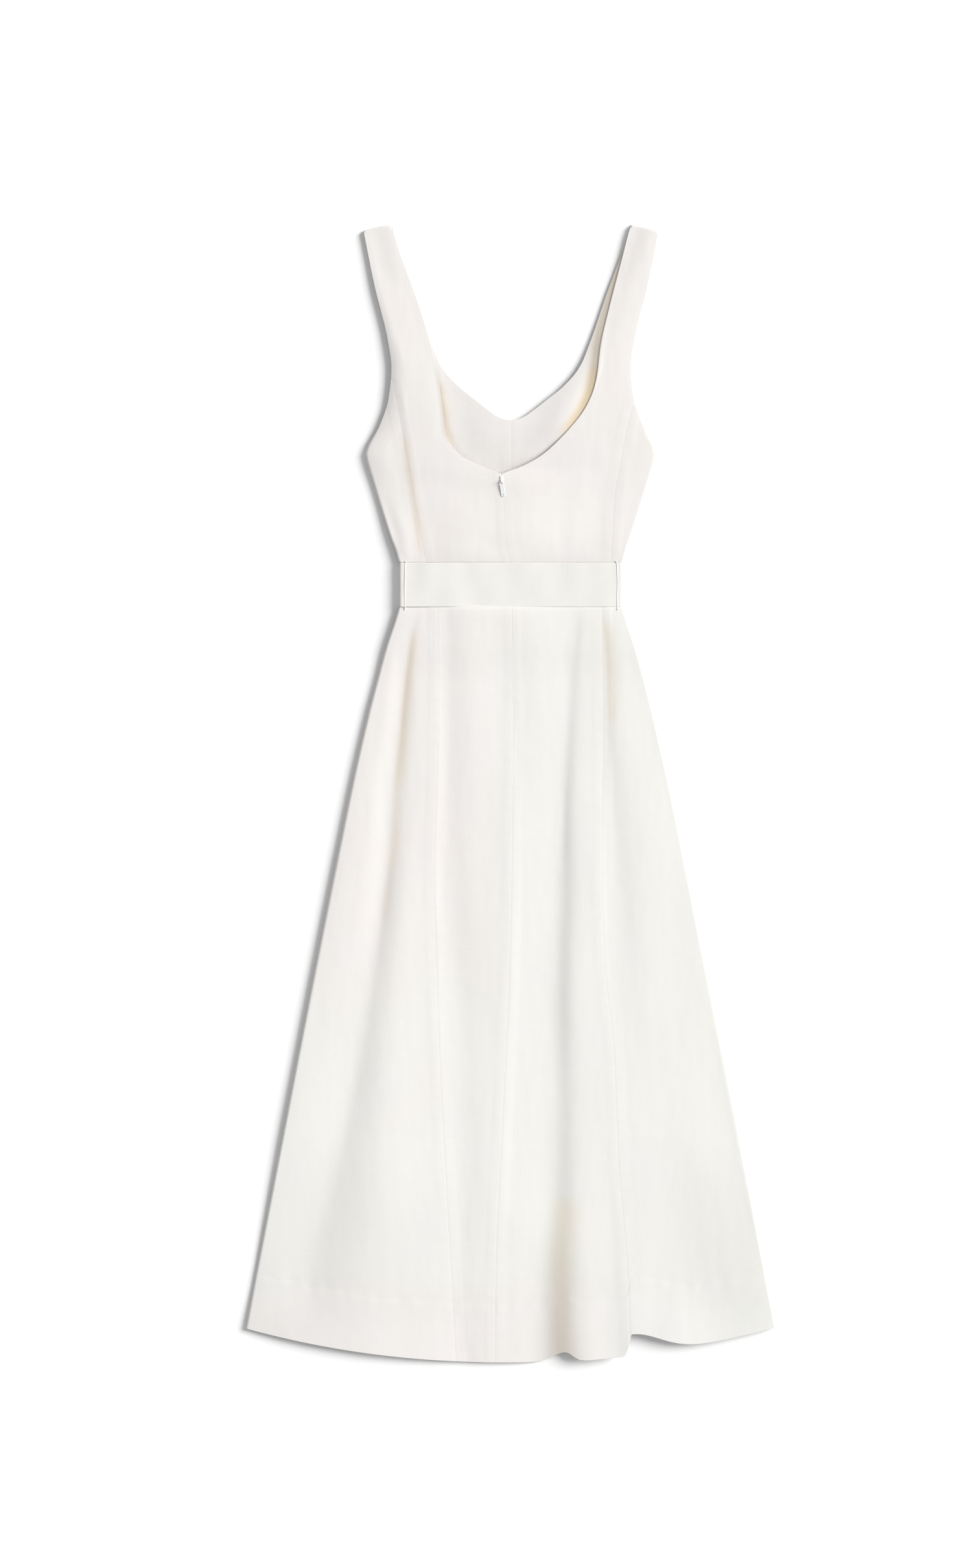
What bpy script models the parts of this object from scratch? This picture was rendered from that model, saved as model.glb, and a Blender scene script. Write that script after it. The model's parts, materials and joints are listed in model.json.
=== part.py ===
"""A sleeveless A-line dress of white linen, laid flat on its front with its back up.

X runs across the dress, Y up its length towards the straps, and Z up from the surface that it lies on.
Sizes are in millimetres, and become metres where a mesh is made. A height along the dress is its rise,
measured from the waist seam, and is negative on the skirt. Left and right are the wearer's.
"""
import math
from collections import namedtuple

import bmesh
import bpy
from mathutils import Vector

MM = 0.001

# Driving dimensions.
TOP_RISE = 412.0            # the strap folds
HEM_RISE = -888.0           # the lowest point of the hem
MIDDLE_RISE = (TOP_RISE + HEM_RISE) / 2
WALL = 1.2                  # linen with its facing or turning
SEAM_GAP = 0.3
LAYER_GAP = 0.4             # between the front and the back where they lie on each other
FRONT_INSET = 0.8           # the front stays this far inside the back's outline

# Belt: one strip round the waist, its end lapped under its start at the hidden front.
BELT_WIDTH = 50.0
BELT_WALL = 1.6
BELT_HALF_LENGTH = 127.7    # half of the flattened ring, outside
BELT_TURN = 4.6             # reach of the half turn at each side
BELT_TURN_STEPS = 8
BELT_LAP_START = 42.0       # the inner end
BELT_LAP_END = -40.0        # the outer end
BELT_GAP = 0.3

# Where the belt's outer end climbs over its inner end: distance from that end, and share of the climb.
Climb = namedtuple("Climb", "distance share")
BELT_CLIMB = [
    Climb(24, 0), Climb(16, 0.15), Climb(6, 0.9), Climb(-2, 1), Climb(BELT_LAP_END - BELT_LAP_START, 1),
]

# Zip.
ZIP_TOP = 125.0
ZIP_BOTTOM = -135.0
CHAIN_WIDTH = 4.0
CHAIN_WALL = 0.9
CHAIN_GAP = 0.35            # under the back
CHAIN_SAG = 0.3             # share of the back's spare lift by which the chain hangs lower
CHAIN_SAG_MOST = 0.5
SLIDER_LENGTH = 8.4
SLIDER_WIDTH = 4.6
SLIDER_HEIGHT = 1.1
SLIDER_CLEARANCE = 0.3      # over the cloth's slope under the slider
SLIDER_BELOW_TOP = 0.8      # from the zip's top stop
SLIDER_TAPER = 0.14         # its lower end is narrower by twice this share of its width
SLIDER_SQUARED = 0.6        # 1 is an ellipse, 0 a rectangle
SLIDER_STEPS = 16
BAIL_WIDTH = 1.2
BAIL_WALL = 0.8
BAIL_HOLLOW = 1.8           # clear height and length inside the bail
BAIL_SUNK = 0.3             # posts reach this far into the slider and the bridge
BAIL_INSET = 0.3            # from the slider's lower end
TAB_LENGTH = 18.0
TAB_WIDTH = 4.8
TAB_WALL = 0.8
TAB_EYE = 2.3               # width of the eye that the bail passes through
TAB_BAR = 0.9               # left above the eye, and turns in the bail
TAB_EYE_END = 3.4           # lower end of the eye below the hinge, clear of the bail's corners
TAB_REST = 0.12             # the tab hangs down onto the cloth at this angle, in radians
TAB_SHOULDER = 1.5          # down to where the tab is at its full width
TAB_TOP_SHARE = 0.75        # share of that width at its top
TAB_HOLE_RADIUS = 0.6
TAB_HOLE_UP = 2.2           # from the tab's tip
TAB_STEPS = 10              # round its tip and its hole

LOOP_SIDE = 120.8           # thread loops: distance from the middle
LOOP_RADIUS = 1.0
LOOP_REACH = 31.0           # half of their height
LOOP_BOW = 0.4              # they stand this much higher at the middle of the belt
LOOP_SHOULDER = 1.0         # they turn down this far outside the belt's edges
LOOP_STEPS = 12

# Half of the dress's width at each rise, from hem to strap.
Width = namedtuple("Width", "rise half")
OUTLINE = [
    Width(-888, 311.0), Width(-847, 303.0), Width(-664, 268.0), Width(-442, 225.0), Width(-294, 195.5),
    Width(-220, 180.3), Width(-145, 163.0), Width(-108, 153.3), Width(-71, 143.0), Width(-42, 133.0),
    Width(-31, 128.5), Width(-26, 124.5), Width(26, 124.5), Width(31, 129.0), Width(53, 137.8),
    Width(88, 148.8), Width(124, 160.0), Width(143, 165.6), Width(149, 166.6), Width(156, 164.8),
    Width(182, 150.0), Width(214, 139.8), Width(248, 136.7), Width(281, 141.2), Width(342, 156.0),
    Width(405, 168.7),
]

# The skirt's back seams.
Seams = namedtuple("Seams", "rise left centre right")
SKIRT_SEAMS = [
    Seams(0, -84, 0.6, 103), Seams(-150, -83.5, 2.2, 104.5), Seams(-330, -88, 0.5, 103.5),
    Seams(-440, -85, -2.2, 107.5), Seams(-530, -82, -6, 117), Seams(-652, -76, -12, 122),
    Seams(-774, -69, -17.5, 132), Seams(-888, -63, -18.5, 137),
]

# The bodice's back seams: the zip's line, and the seams that end in the armholes.
BODICE_SEAMS = [
    Seams(0, -94.5, 0.6, 113), Seams(26, -97.4, -0.4, 113.7), Seams(42, -100.5, -4.8, 114.6),
    Seams(69, -105.6, -7, 116), Seams(103, -112, -9, 118.1), Seams(126, -115.8, -11.5, 122),
    Seams(177, -124.8, -11.5, 131.6), Seams(207, -130.4, -11.5, 139.2), Seams(235, -135.4, -11.5, 148),
]
LEFT_SEAM_TOP = 235.0
RIGHT_SEAM_TOP = 207.0

# Inner edge of the straps and necklines: distance from the middle at each rise.
Edge = namedtuple("Edge", "rise side")
FRONT_NECK_LEFT = [
    Edge(188.2, 0), Edge(188.8, 6), Edge(191, 12.5), Edge(200.8, 27), Edge(212.6, 42), Edge(224.5, 57),
    Edge(243, 75), Edge(256, 83), Edge(270, 88.8), Edge(318, 104.3), Edge(357, 118.2), Edge(384, 128),
    Edge(412, 136.0),
]
FRONT_NECK_RIGHT = [
    Edge(188.2, 0), Edge(188.8, 6), Edge(191, 12.5), Edge(200.8, 27), Edge(212.6, 42), Edge(224.5, 57),
    Edge(243, 74.2), Edge(256, 81.8), Edge(270, 87.4), Edge(297, 97.2), Edge(318, 104.2), Edge(334, 109.6),
    Edge(357, 118.2), Edge(371, 123.3), Edge(384, 128), Edge(412, 136),
]
BACK_NECK_LEFT = [
    Edge(126.3, 11.5), Edge(133, 29), Edge(141, 46), Edge(147, 57), Edge(157, 67.5), Edge(172, 75.8),
    Edge(194, 78.4), Edge(231, 82.6), Edge(265, 89.4), Edge(318, 105.0), Edge(357, 118.9),
    Edge(384, 128.6), Edge(412, 136.4),
]
BACK_NECK_RIGHT = [
    Edge(126.3, -11.5), Edge(130, -2), Edge(135.2, 12), Edge(147.8, 34.6), Edge(165.5, 54.6),
    Edge(179.6, 67.8), Edge(200.4, 83.8), Edge(221.8, 93.8), Edge(240.4, 98.2), Edge(273.7, 102.2),
    Edge(314.4, 111.5), Edge(371.5, 126.3), Edge(412, 136.4),
]

# A cross-line of a bodice panel joins these two rises, on its inner and its outer edge.
Station = namedtuple("Station", "inner outer")
BACK_STATIONS = [
    Station(0, 0), Station(27, 27), Station(45, 42), Station(80, 62), Station(126.3, 92),
    Station(134, 118), Station(150, 148), Station(178, 176), Station(209, 207), Station(240, 235),
    Station(300, 295), Station(360, 354), Station(412, 405),
]
FRONT_STATIONS = [
    Station(0, 0), Station(27, 27), Station(54, 50), Station(80, 76), Station(134, 110),
    Station(188.2, 149), Station(191, 153), Station(202, 166), Station(226, 192), Station(256, 238),
    Station(300, 293), Station(360, 354), Station(412, 405),
]

# How high the back stands off the front: at its left and right edges, further in, and over what distance.
Stand = namedtuple("Stand", "rise left right inner reach")
BACK_STANDS = [
    Stand(-888, 3.8, 4.4, 4.6, 60), Stand(-500, 3.8, 4.4, 4.6, 60), Stand(-200, 3.6, 4.3, 4.4, 50),
    Stand(-80, 3.2, 3.9, 4.0, 40), Stand(-45, 2.2, 2.7, 2.8, 30), Stand(-28, 1.0, 1.0, 1.1, 20),
    Stand(28, 1.0, 1.0, 1.1, 20), Stand(45, 2.6, 3.0, 3.1, 30), Stand(90, 3.2, 4.4, 4.6, 30),
    Stand(150, 3.6, 5.6, 6.0, 26), Stand(200, 3.8, 6.2, 6.6, 22), Stand(250, 3.6, 5.4, 5.8, 16),
    Stand(300, 3.0, 3.8, 4.0, 10), Stand(380, 2.3, 2.5, 2.5, 8), Stand(412, 2.1, 2.2, 2.2, 8),
]
LEAST_STAND = 0.2
ROLL = 4.0                  # width over which the back rolls down to meet the front
WAIST_LIFT = 3.8            # the front is lifted here by the belt's lapped run beneath it
WAIST_LEVEL = 27.0
WAIST_FADE = 115.0

# Where the front stands off the surface inside the neckline.
Swell = namedtuple("Swell", "x rise width length height")
NECK_SWELL = Swell(22, 160, 56, 46, 5.4)

# The front stands up along the right side of its neckline: place, height and reach of the ridge.
Ridge = namedtuple("Ridge", "rise x height reach")
NECK_RIDGE = [
    Ridge(135, 10, 0.0, 30), Ridge(160, 50, 1.6, 26), Ridge(185, 58, 3.4, 28), Ridge(215, 72, 5.0, 34),
    Ridge(245, 86, 5.4, 34), Ridge(274, 96, 3.6, 30), Ridge(300, 102, 1.8, 26), Ridge(345, 115, 0.9, 24),
    Ridge(412, 136, 0.4, 24),
]

# A fold climbs towards the right across its line. Each row gives the line's place, the slope there, and
# how far the slope reaches to each side; the cloth comes level again over the fold's two fades.
Fold = namedtuple("Fold", "left_fade right_fade rows")
Slope = namedtuple("Slope", "rise x slope left right")
FOLDS = [
    Fold(42, 70, [
        Slope(-28, -95, 0.0, 4, 8), Slope(-50, -104, 0.08, 4, 8), Slope(-86, -115, 0.15, 3, 6),
        Slope(-146, -120, 0.13, 5, 9), Slope(-190, -124, 0.15, 4, 8), Slope(-294, -134, 0.15, 5, 12),
        Slope(-353, -141, 0.16, 5, 13), Slope(-471, -155, 0.13, 8, 18), Slope(-590, -175, 0.12, 10, 26),
        Slope(-708, -200, 0.10, 12, 45), Slope(-790, -213, 0.09, 14, 50), Slope(-850, -218, 0.0, 14, 50),
    ]),
    Fold(60, 100, [
        Slope(-28, 80, 0.0, 8, 6), Slope(-40, 80, 0.03, 8, 6), Slope(-57, 79, 0.06, 8, 5),
        Slope(-86, 74, 0.09, 6, 8), Slope(-146, 71, 0.13, 6, 8), Slope(-234, 65, 0.17, 4, 10),
        Slope(-353, 63, 0.18, 8, 10), Slope(-471, 61, 0.20, 11, 9), Slope(-590, 62, 0.16, 12, 12),
        Slope(-708, 60, 0.19, 14, 15), Slope(-790, 56, 0.25, 14, 14), Slope(-842, 55, 0.29, 15, 15),
        Slope(-888, 56, 0.30, 15, 15),
    ]),
    Fold(20, 60, [
        Slope(-28, 106, 0.0, 2, 6), Slope(-40, 106, 0.05, 2, 6), Slope(-57, 108, 0.10, 2, 10),
        Slope(-116, 115, 0.11, 3, 8), Slope(-234, 117, 0.09, 3, 12), Slope(-353, 130, 0.05, 8, 14),
        Slope(-471, 145, 0.01, 10, 14), Slope(-530, 150, 0.0, 10, 14),
    ]),
    Fold(30, 90, [
        Slope(-28, -70, 0.0, 5, 20), Slope(-40, -70, 0.05, 5, 20), Slope(-57, -66, 0.06, 6, 18),
        Slope(-234, -62, 0.05, 8, 18), Slope(-412, -53, 0.06, 12, 20), Slope(-649, -44, 0.05, 14, 20),
        Slope(-820, -50, 0.06, 14, 25), Slope(-888, -45, 0.07, 14, 20),
    ]),
]

# Where the hem is pulled up by a fold.
Pull = namedtuple("Pull", "x left right height")
HEM_RADIUS = 1168.0
HEM_MIDDLE = -4.0
HEM_PULLS = [Pull(62, 20, 11, 10.5), Pull(137.5, 4, 46, 24.5)]
FRONT_PULLS = [Pull(62, 30, 30, 10.5), Pull(137.5, 36, 60, 25.5)]
FRONT_HEM_INSET = 2.0       # the front hem lies this far above the back one
HEM_TURN = -560.0           # rows lie level down to here, then bend into the hem's line

# Shares of the skirt's length at which its rows lie, closest where it comes out from under the belt.
BACK_ROWS = [0, 0.03, 0.036, 0.045, 0.06, 0.085, 0.12, 0.17, 0.23, 0.30, 0.37, 0.44, 0.51, 0.58,
             0.65, 0.72, 0.79, 0.86, 0.93, 1.0]
FRONT_ROWS = [0, 0.03, 0.045, 0.06, 0.09, 0.25, 0.5, 0.75, 1.0]

# How many strips each panel's grid has across, and how its rows are shared out.
BODICE_COLUMNS = 8
SIDE_COLUMNS = 6
FRONT_BODICE_COLUMNS = 5
SKIRT_SIDE_LEFT_COLUMNS = 14
SKIRT_LEFT_COLUMNS = 7
SKIRT_RIGHT_COLUMNS = 14
SKIRT_SIDE_RIGHT_COLUMNS = 12
FRONT_SKIRT_COLUMNS = 24
ROWS_PER_STATION = 2
CHAIN_ROWS = 26
CROWDING = 1.5              # columns crowd towards a side edge by this power
HEM_PASSES = 4              # a skirt point's rise and its panel's width are settled together

Finish = namedtuple("Finish", "colour roughness metallic")
FINISHES = {
    "linen": Finish((0.86, 0.845, 0.815), 0.85, 0.0), "belt": Finish((0.85, 0.85, 0.835), 0.85, 0.0),
    "thread": Finish((0.84, 0.82, 0.78), 0.85, 0.0), "chain": Finish((0.80, 0.79, 0.76), 0.85, 0.0),
    "metal": Finish((0.78, 0.78, 0.77), 0.35, 0.6), "tab": Finish((0.86, 0.86, 0.85), 0.4, 0.0),
}


def along(rows, name, rise):
    """The named column at a rise, on a smooth curve through the rows that never overshoots them."""
    if rows[0].rise > rows[-1].rise:
        rows = rows[::-1]
    at = [row.rise for row in rows]
    value = [getattr(row, name) for row in rows]
    last = len(rows) - 1
    if rise <= at[0] or rise >= at[last]:
        return value[0] if rise <= at[0] else value[last]
    slope = [(value[i + 1] - value[i]) / (at[i + 1] - at[i]) for i in range(last)]

    def tangent(i):
        if i in (0, last):
            return slope[0] if i == 0 else slope[last - 1]
        if slope[i - 1] * slope[i] <= 0:
            return 0.0
        return 2 * slope[i - 1] * slope[i] / (slope[i - 1] + slope[i])

    i = max(k for k in range(last) if at[k] <= rise)
    step = at[i + 1] - at[i]
    t = (rise - at[i]) / step
    rest = 1 - t
    return ((1 + 2 * t) * rest * rest * value[i] + t * rest * rest * step * tangent(i)
            + t * t * (3 - 2 * t) * value[i + 1] - t * t * rest * step * tangent(i + 1))


def ease(t):
    """0 to 1 with level ends."""
    t = min(max(t, 0.0), 1.0)
    return t * t * (3 - 2 * t)


def bump(distance, left, right):
    """1 at no distance, falling off smoothly over the left or the right reach."""
    reach = left if distance < 0 else right
    return math.exp(-(distance / reach) ** 2)


def hem_arc(x):
    """Rise of the hem as it is cut: an arc."""
    return HEM_RISE + HEM_RADIUS - math.sqrt(HEM_RADIUS ** 2 - (x - HEM_MIDDLE) ** 2)


def hem(x):
    """Rise of the back hem at x, pulled up where a fold takes it."""
    return hem_arc(x) + sum(pull.height * bump(x - pull.x, pull.left, pull.right) for pull in HEM_PULLS)


def front_hem(x):
    """Rise of the hidden front hem, which the same folds pull up more broadly, just inside the back one."""
    pulled = sum(pull.height * bump(x - pull.x, pull.left, pull.right) for pull in FRONT_PULLS)
    return hem_arc(x) + pulled + FRONT_HEM_INSET


def fold_lift(fold, x, rise):
    """Height that one fold adds at a point."""
    off = x - along(fold.rows, "x", rise)
    reach = along(fold.rows, "left" if off < 0 else "right", rise)
    climb = along(fold.rows, "slope", rise) * reach * math.tanh(off / reach)
    return climb * bump(off, fold.left_fade, fold.right_fade)


def waist_lift(rise):
    """Height that the belt's lapped run gives to all that lies on it."""
    return WAIST_LIFT * (1 - ease((abs(rise) - WAIST_LEVEL) / (WAIST_FADE - WAIST_LEVEL)))


def front_height(x, rise):
    """Underside of the front: flat on the surface, but lifted by the belt under the waist and at the neck."""
    across = (x - NECK_SWELL.x) / NECK_SWELL.width
    upward = (rise - NECK_SWELL.rise) / NECK_SWELL.length
    swell = NECK_SWELL.height * math.exp(-across * across - upward * upward)
    off = (x - along(NECK_RIDGE, "x", rise)) / along(NECK_RIDGE, "reach", rise)
    ridge = along(NECK_RIDGE, "height", rise) * math.exp(-off * off)
    return waist_lift(rise) + swell + ridge


def back_height(x, rise):
    """Underside of the back: it stands off the front, folds, and rolls down to it at the sides."""
    inward = max(along(OUTLINE, "half", rise) - abs(x), 0.0)
    edge = along(BACK_STANDS, "left" if x < 0 else "right", rise)
    inner = along(BACK_STANDS, "inner", rise)
    swell = 1 - (1 - min(inward / along(BACK_STANDS, "reach", rise), 1.0)) ** 2
    stand = edge + (inner - edge) * swell + sum(fold_lift(fold, x, rise) for fold in FOLDS)
    rolled = math.sqrt(1 - (1 - min(inward / ROLL, 1.0)) ** 2)
    base = waist_lift(rise) + max(stand, LEAST_STAND) * rolled
    return max(base, front_height(x, rise)) + WALL + LAYER_GAP


def back_top(x, rise):
    return back_height(x, rise) + WALL


def place(x, rise, height):
    """A point of the dress in metres, in the part's frame."""
    return Vector((x, rise - MIDDLE_RISE, height)) * MM


def spread(count):
    """Evenly spaced fractions from 0 to 1."""
    return [i / count for i in range(count + 1)]


def towards_side(count):
    """Fractions from a side edge inwards, closest together at the edge, where the cloth rolls."""
    return [t ** CROWDING for t in spread(count)]


def add_object(name, data, finish):
    look = FINISHES[finish]
    material = bpy.data.materials.new(name)
    material.use_nodes = True
    shader = material.node_tree.nodes["Principled BSDF"]
    shader.inputs["Base Color"].default_value = (*look.colour, 1)
    shader.inputs["Roughness"].default_value = look.roughness
    shader.inputs["Metallic"].default_value = look.metallic
    data.materials.append(material)
    made = bpy.data.objects.new(name, data)
    PARTS.objects.link(made)
    return made


def mesh_object(name, shape, finish):
    bmesh.ops.recalc_face_normals(shape, faces=shape.faces)
    data = bpy.data.meshes.new(name)
    shape.to_mesh(data)
    shape.free()
    return add_object(name, data, finish)


def sheet(name, columns, rows, point, height, wall=WALL, finish="linen"):
    """A panel of cloth: a grid shaped by point(column, row), then extruded upwards by its wall."""
    shape = bmesh.new()
    across = len(columns) - 1
    grid = bmesh.ops.create_grid(shape, x_segments=across, y_segments=len(rows) - 1, size=0.5)
    for vert in grid["verts"]:
        column = columns[round((vert.co.x + 0.5) * across)]
        row = rows[round((vert.co.y + 0.5) * (len(rows) - 1))]
        x, rise = point(column, row)
        vert.co = place(x, rise, height(x, rise))
    upper = bmesh.ops.extrude_face_region(shape, geom=shape.faces[:])
    for part in upper["geom"]:
        if isinstance(part, bmesh.types.BMVert):
            part.co.z += wall * MM
    return mesh_object(name, shape, finish)


def between(inner, outer, stations):
    """A point of a ruled panel: the column goes from its inner to its outer edge, the row along it."""
    last = len(stations) - 1

    def point(column, row):
        i = min(int(row), last - 1)
        part = row - i
        low = stations[i]
        high = stations[i + 1]
        inner_rise = low.inner + (high.inner - low.inner) * part
        outer_rise = low.outer + (high.outer - low.outer) * part
        inner_x = inner(inner_rise)
        outer_x = outer(outer_rise)
        return inner_x + (outer_x - inner_x) * column, inner_rise + (outer_rise - inner_rise) * column

    return point


def with_bottom_gap(point):
    """The same panel with its lower edge half a seam's gap above the waist seam."""
    def raised(column, row):
        x, rise = point(column, row)
        return x, max(rise, SEAM_GAP / 2)
    return raised


def steps_between(stations):
    """Rows of a panel: each station, and evenly spaced rows between it and the next."""
    return [i / ROWS_PER_STATION for i in range((len(stations) - 1) * ROWS_PER_STATION + 1)]


def back_bodice(name, sign, neck, column_name, seam_top):
    """A centre-back panel with its strap, from the zip and the neckline out to the seam or the armhole."""
    def inner(rise):
        if rise <= neck[0].rise:
            return along(BODICE_SEAMS, "centre", rise) + sign * SEAM_GAP / 2
        return sign * along(neck, "side", rise)

    def outer(rise):
        if rise <= seam_top:
            return along(BODICE_SEAMS, column_name, rise) - sign * SEAM_GAP / 2
        return sign * along(OUTLINE, "half", rise)

    point = with_bottom_gap(between(inner, outer, BACK_STATIONS))
    return sheet(name, spread(BODICE_COLUMNS), steps_between(BACK_STATIONS), point, back_height)


def back_side(name, sign, column_name, seam_top):
    """A side panel of the back bodice, narrowing almost to nothing where its seam meets the armhole."""
    stations = [Station(s.outer, s.outer) for s in BACK_STATIONS if s.outer <= seam_top]

    def inner(rise):
        return sign * along(OUTLINE, "half", rise)

    def outer(rise):
        return along(BODICE_SEAMS, column_name, rise) + sign * SEAM_GAP / 2

    point = with_bottom_gap(between(inner, outer, stations))
    return sheet(name, towards_side(SIDE_COLUMNS), steps_between(stations), point, back_height)


def front_bodice(name, sign):
    """Half of the front, from its centre seam and neckline out to the side seam, with its strap."""
    neck = FRONT_NECK_LEFT if sign < 0 else FRONT_NECK_RIGHT

    def inner(rise):
        if rise <= neck[0].rise:
            return sign * SEAM_GAP / 2
        return sign * (along(neck, "side", rise) + SEAM_GAP / 2)

    def outer(rise):
        return sign * (along(OUTLINE, "half", rise) - FRONT_INSET)

    point = with_bottom_gap(between(inner, outer, FRONT_STATIONS))
    return sheet(name, spread(FRONT_BODICE_COLUMNS), steps_between(FRONT_STATIONS), point, front_height)


def skirt_point(left_edge, right_edge, hem_line):
    """A point of a skirt panel: rows go from the waist seam down to the hem line."""
    def point(column, row):
        level = -SEAM_GAP / 2 + (HEM_RISE + SEAM_GAP / 2) * row
        rise = level
        for _ in range(HEM_PASSES):
            x = left_edge(rise) + (right_edge(rise) - left_edge(rise)) * column
            fallen = max((HEM_TURN - level) / (HEM_TURN - HEM_RISE), 0.0)
            rise = level + (hem_line(x) - HEM_RISE) * fallen
        return x, rise
    return point


def back_skirt(name, left_edge, right_edge, columns):
    return sheet(name, columns, BACK_ROWS, skirt_point(left_edge, right_edge, hem), back_height)


def seam(column_name, side):
    """One side of a skirt seam, half a gap off its line."""
    return lambda rise: along(SKIRT_SEAMS, column_name, rise) + side * SEAM_GAP / 2


def skirt_side(sign, inset=0.0):
    return lambda rise: sign * (along(OUTLINE, "half", rise) - inset)


def make_skirt():
    left_columns = towards_side(SKIRT_SIDE_LEFT_COLUMNS)
    right_columns = towards_side(SKIRT_SIDE_RIGHT_COLUMNS)
    back_skirt("back_skirt_side_left", skirt_side(-1), seam("left", -1), left_columns)
    back_skirt("back_skirt_left", seam("left", 1), seam("centre", -1), spread(SKIRT_LEFT_COLUMNS))
    back_skirt("back_skirt_right", seam("centre", 1), seam("right", -1), spread(SKIRT_RIGHT_COLUMNS))
    back_skirt("back_skirt_side_right", skirt_side(1), seam("right", 1), right_columns)
    point = skirt_point(skirt_side(-1, FRONT_INSET), skirt_side(1, FRONT_INSET), front_hem)
    sheet("front_skirt", spread(FRONT_SKIRT_COLUMNS), FRONT_ROWS, point, front_height)


def make_bodice():
    back_bodice("back_bodice_left", -1, BACK_NECK_LEFT, "left", LEFT_SEAM_TOP)
    back_bodice("back_bodice_right", 1, BACK_NECK_RIGHT, "right", RIGHT_SEAM_TOP)
    back_side("back_side_left", -1, "left", LEFT_SEAM_TOP)
    back_side("back_side_right", 1, "right", RIGHT_SEAM_TOP)
    front_bodice("front_bodice_left", -1)
    front_bodice("front_bodice_right", 1)


def belt_route():
    """The strip's middle line in X and Z: under the front, over the back, and under the front again."""
    low = BELT_WALL / 2
    high = WAIST_LIFT + 2 * WALL + LAYER_GAP + BACK_LIFT_AT_BELT + BELT_GAP + BELT_WALL / 2
    turn_x = BELT_HALF_LENGTH - BELT_WALL / 2 - BELT_TURN
    turn_z = (high - low) / 2
    middle = (high + low) / 2
    route = [(BELT_LAP_START, low)]
    for sign in (-1, 1):
        for part in spread(BELT_TURN_STEPS):
            x = sign * (turn_x + BELT_TURN * math.sin(math.pi * part))
            route.append((x, middle + sign * turn_z * math.cos(math.pi * part)))
    for climb in BELT_CLIMB:
        route.append((BELT_LAP_START + climb.distance, low + (BELT_WALL + BELT_GAP) * climb.share))
    return route


def make_belt():
    """A strip that follows its route, given its wall by Solidify."""
    route = belt_route()
    shape = bmesh.new()
    bmesh.ops.create_grid(shape, x_segments=len(route) - 1, y_segments=1, size=0.5)
    for vert in shape.verts:
        x, height = route[round((vert.co.x + 0.5) * (len(route) - 1))]
        vert.co = place(x, vert.co.y * BELT_WIDTH, height)
    belt = mesh_object("belt", shape, "belt")
    wall = belt.modifiers.new("Wall", "SOLIDIFY")
    wall.thickness = BELT_WALL * MM
    wall.offset = 0
    wall.use_even_offset = True
    return belt


def tube(name, points, radius, finish):
    """A round thread or wire along its points, with filled ends."""
    data = bpy.data.curves.new(name, "CURVE")
    data.dimensions = "3D"
    data.bevel_depth = radius * MM
    data.bevel_resolution = 2
    data.use_fill_caps = True
    spline = data.splines.new("POLY")
    spline.points.add(len(points) - 1)
    for target, point in zip(spline.points, points):
        target.co = (*point, 1)
    return add_object(name, data, finish)


def make_belt_loop(name, sign):
    """A thread loop from the bodice just above the belt, over the belt, to the skirt just below it."""
    x = sign * LOOP_SIDE
    crossing = BELT_TOP + SEAM_GAP + LOOP_RADIUS
    points = []
    for step in spread(LOOP_STEPS):
        part = 2 * step - 1
        rise = part * LOOP_REACH
        end = back_top(x, math.copysign(LOOP_REACH, part)) + SEAM_GAP + LOOP_RADIUS
        over = ease((LOOP_REACH - abs(rise)) / (LOOP_REACH - BELT_WIDTH / 2 - LOOP_SHOULDER))
        points.append(place(x, rise, end + (crossing - end) * over + LOOP_BOW * (1 - part * part)))
    return tube(name, points, LOOP_RADIUS, "thread")


def make_zip_chain():
    """The zip's chain, a narrow strip behind the centre-back seam."""
    def point(column, row):
        rise = ZIP_TOP + (ZIP_BOTTOM - ZIP_TOP) * row
        centre = along(BODICE_SEAMS, "centre", rise) if rise > 0 else along(SKIRT_SEAMS, "centre", rise)
        return centre + (column - 0.5) * CHAIN_WIDTH, rise

    def height(x, rise):
        spare = along(BACK_STANDS, "inner", rise) - BACK_LIFT_AT_BELT
        return back_height(x, rise) - CHAIN_WALL - CHAIN_GAP - min(CHAIN_SAG * spare, CHAIN_SAG_MOST)

    return sheet("zip_chain", [0, 1], spread(CHAIN_ROWS), point, height, CHAIN_WALL, "chain")


def box(name, size, centre):
    """A box that is joined to another solid, so it isn't a part itself."""
    shape = bmesh.new()
    bmesh.ops.create_cube(shape, size=1)
    bmesh.ops.scale(shape, vec=Vector(size) * MM, verts=shape.verts)
    data = bpy.data.meshes.new(name)
    shape.to_mesh(data)
    shape.free()
    made = bpy.data.objects.new(name, data)
    made.location = centre
    made.hide_render = True
    made.display_type = "WIRE"
    CUTTERS.objects.link(made)
    return made


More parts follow.
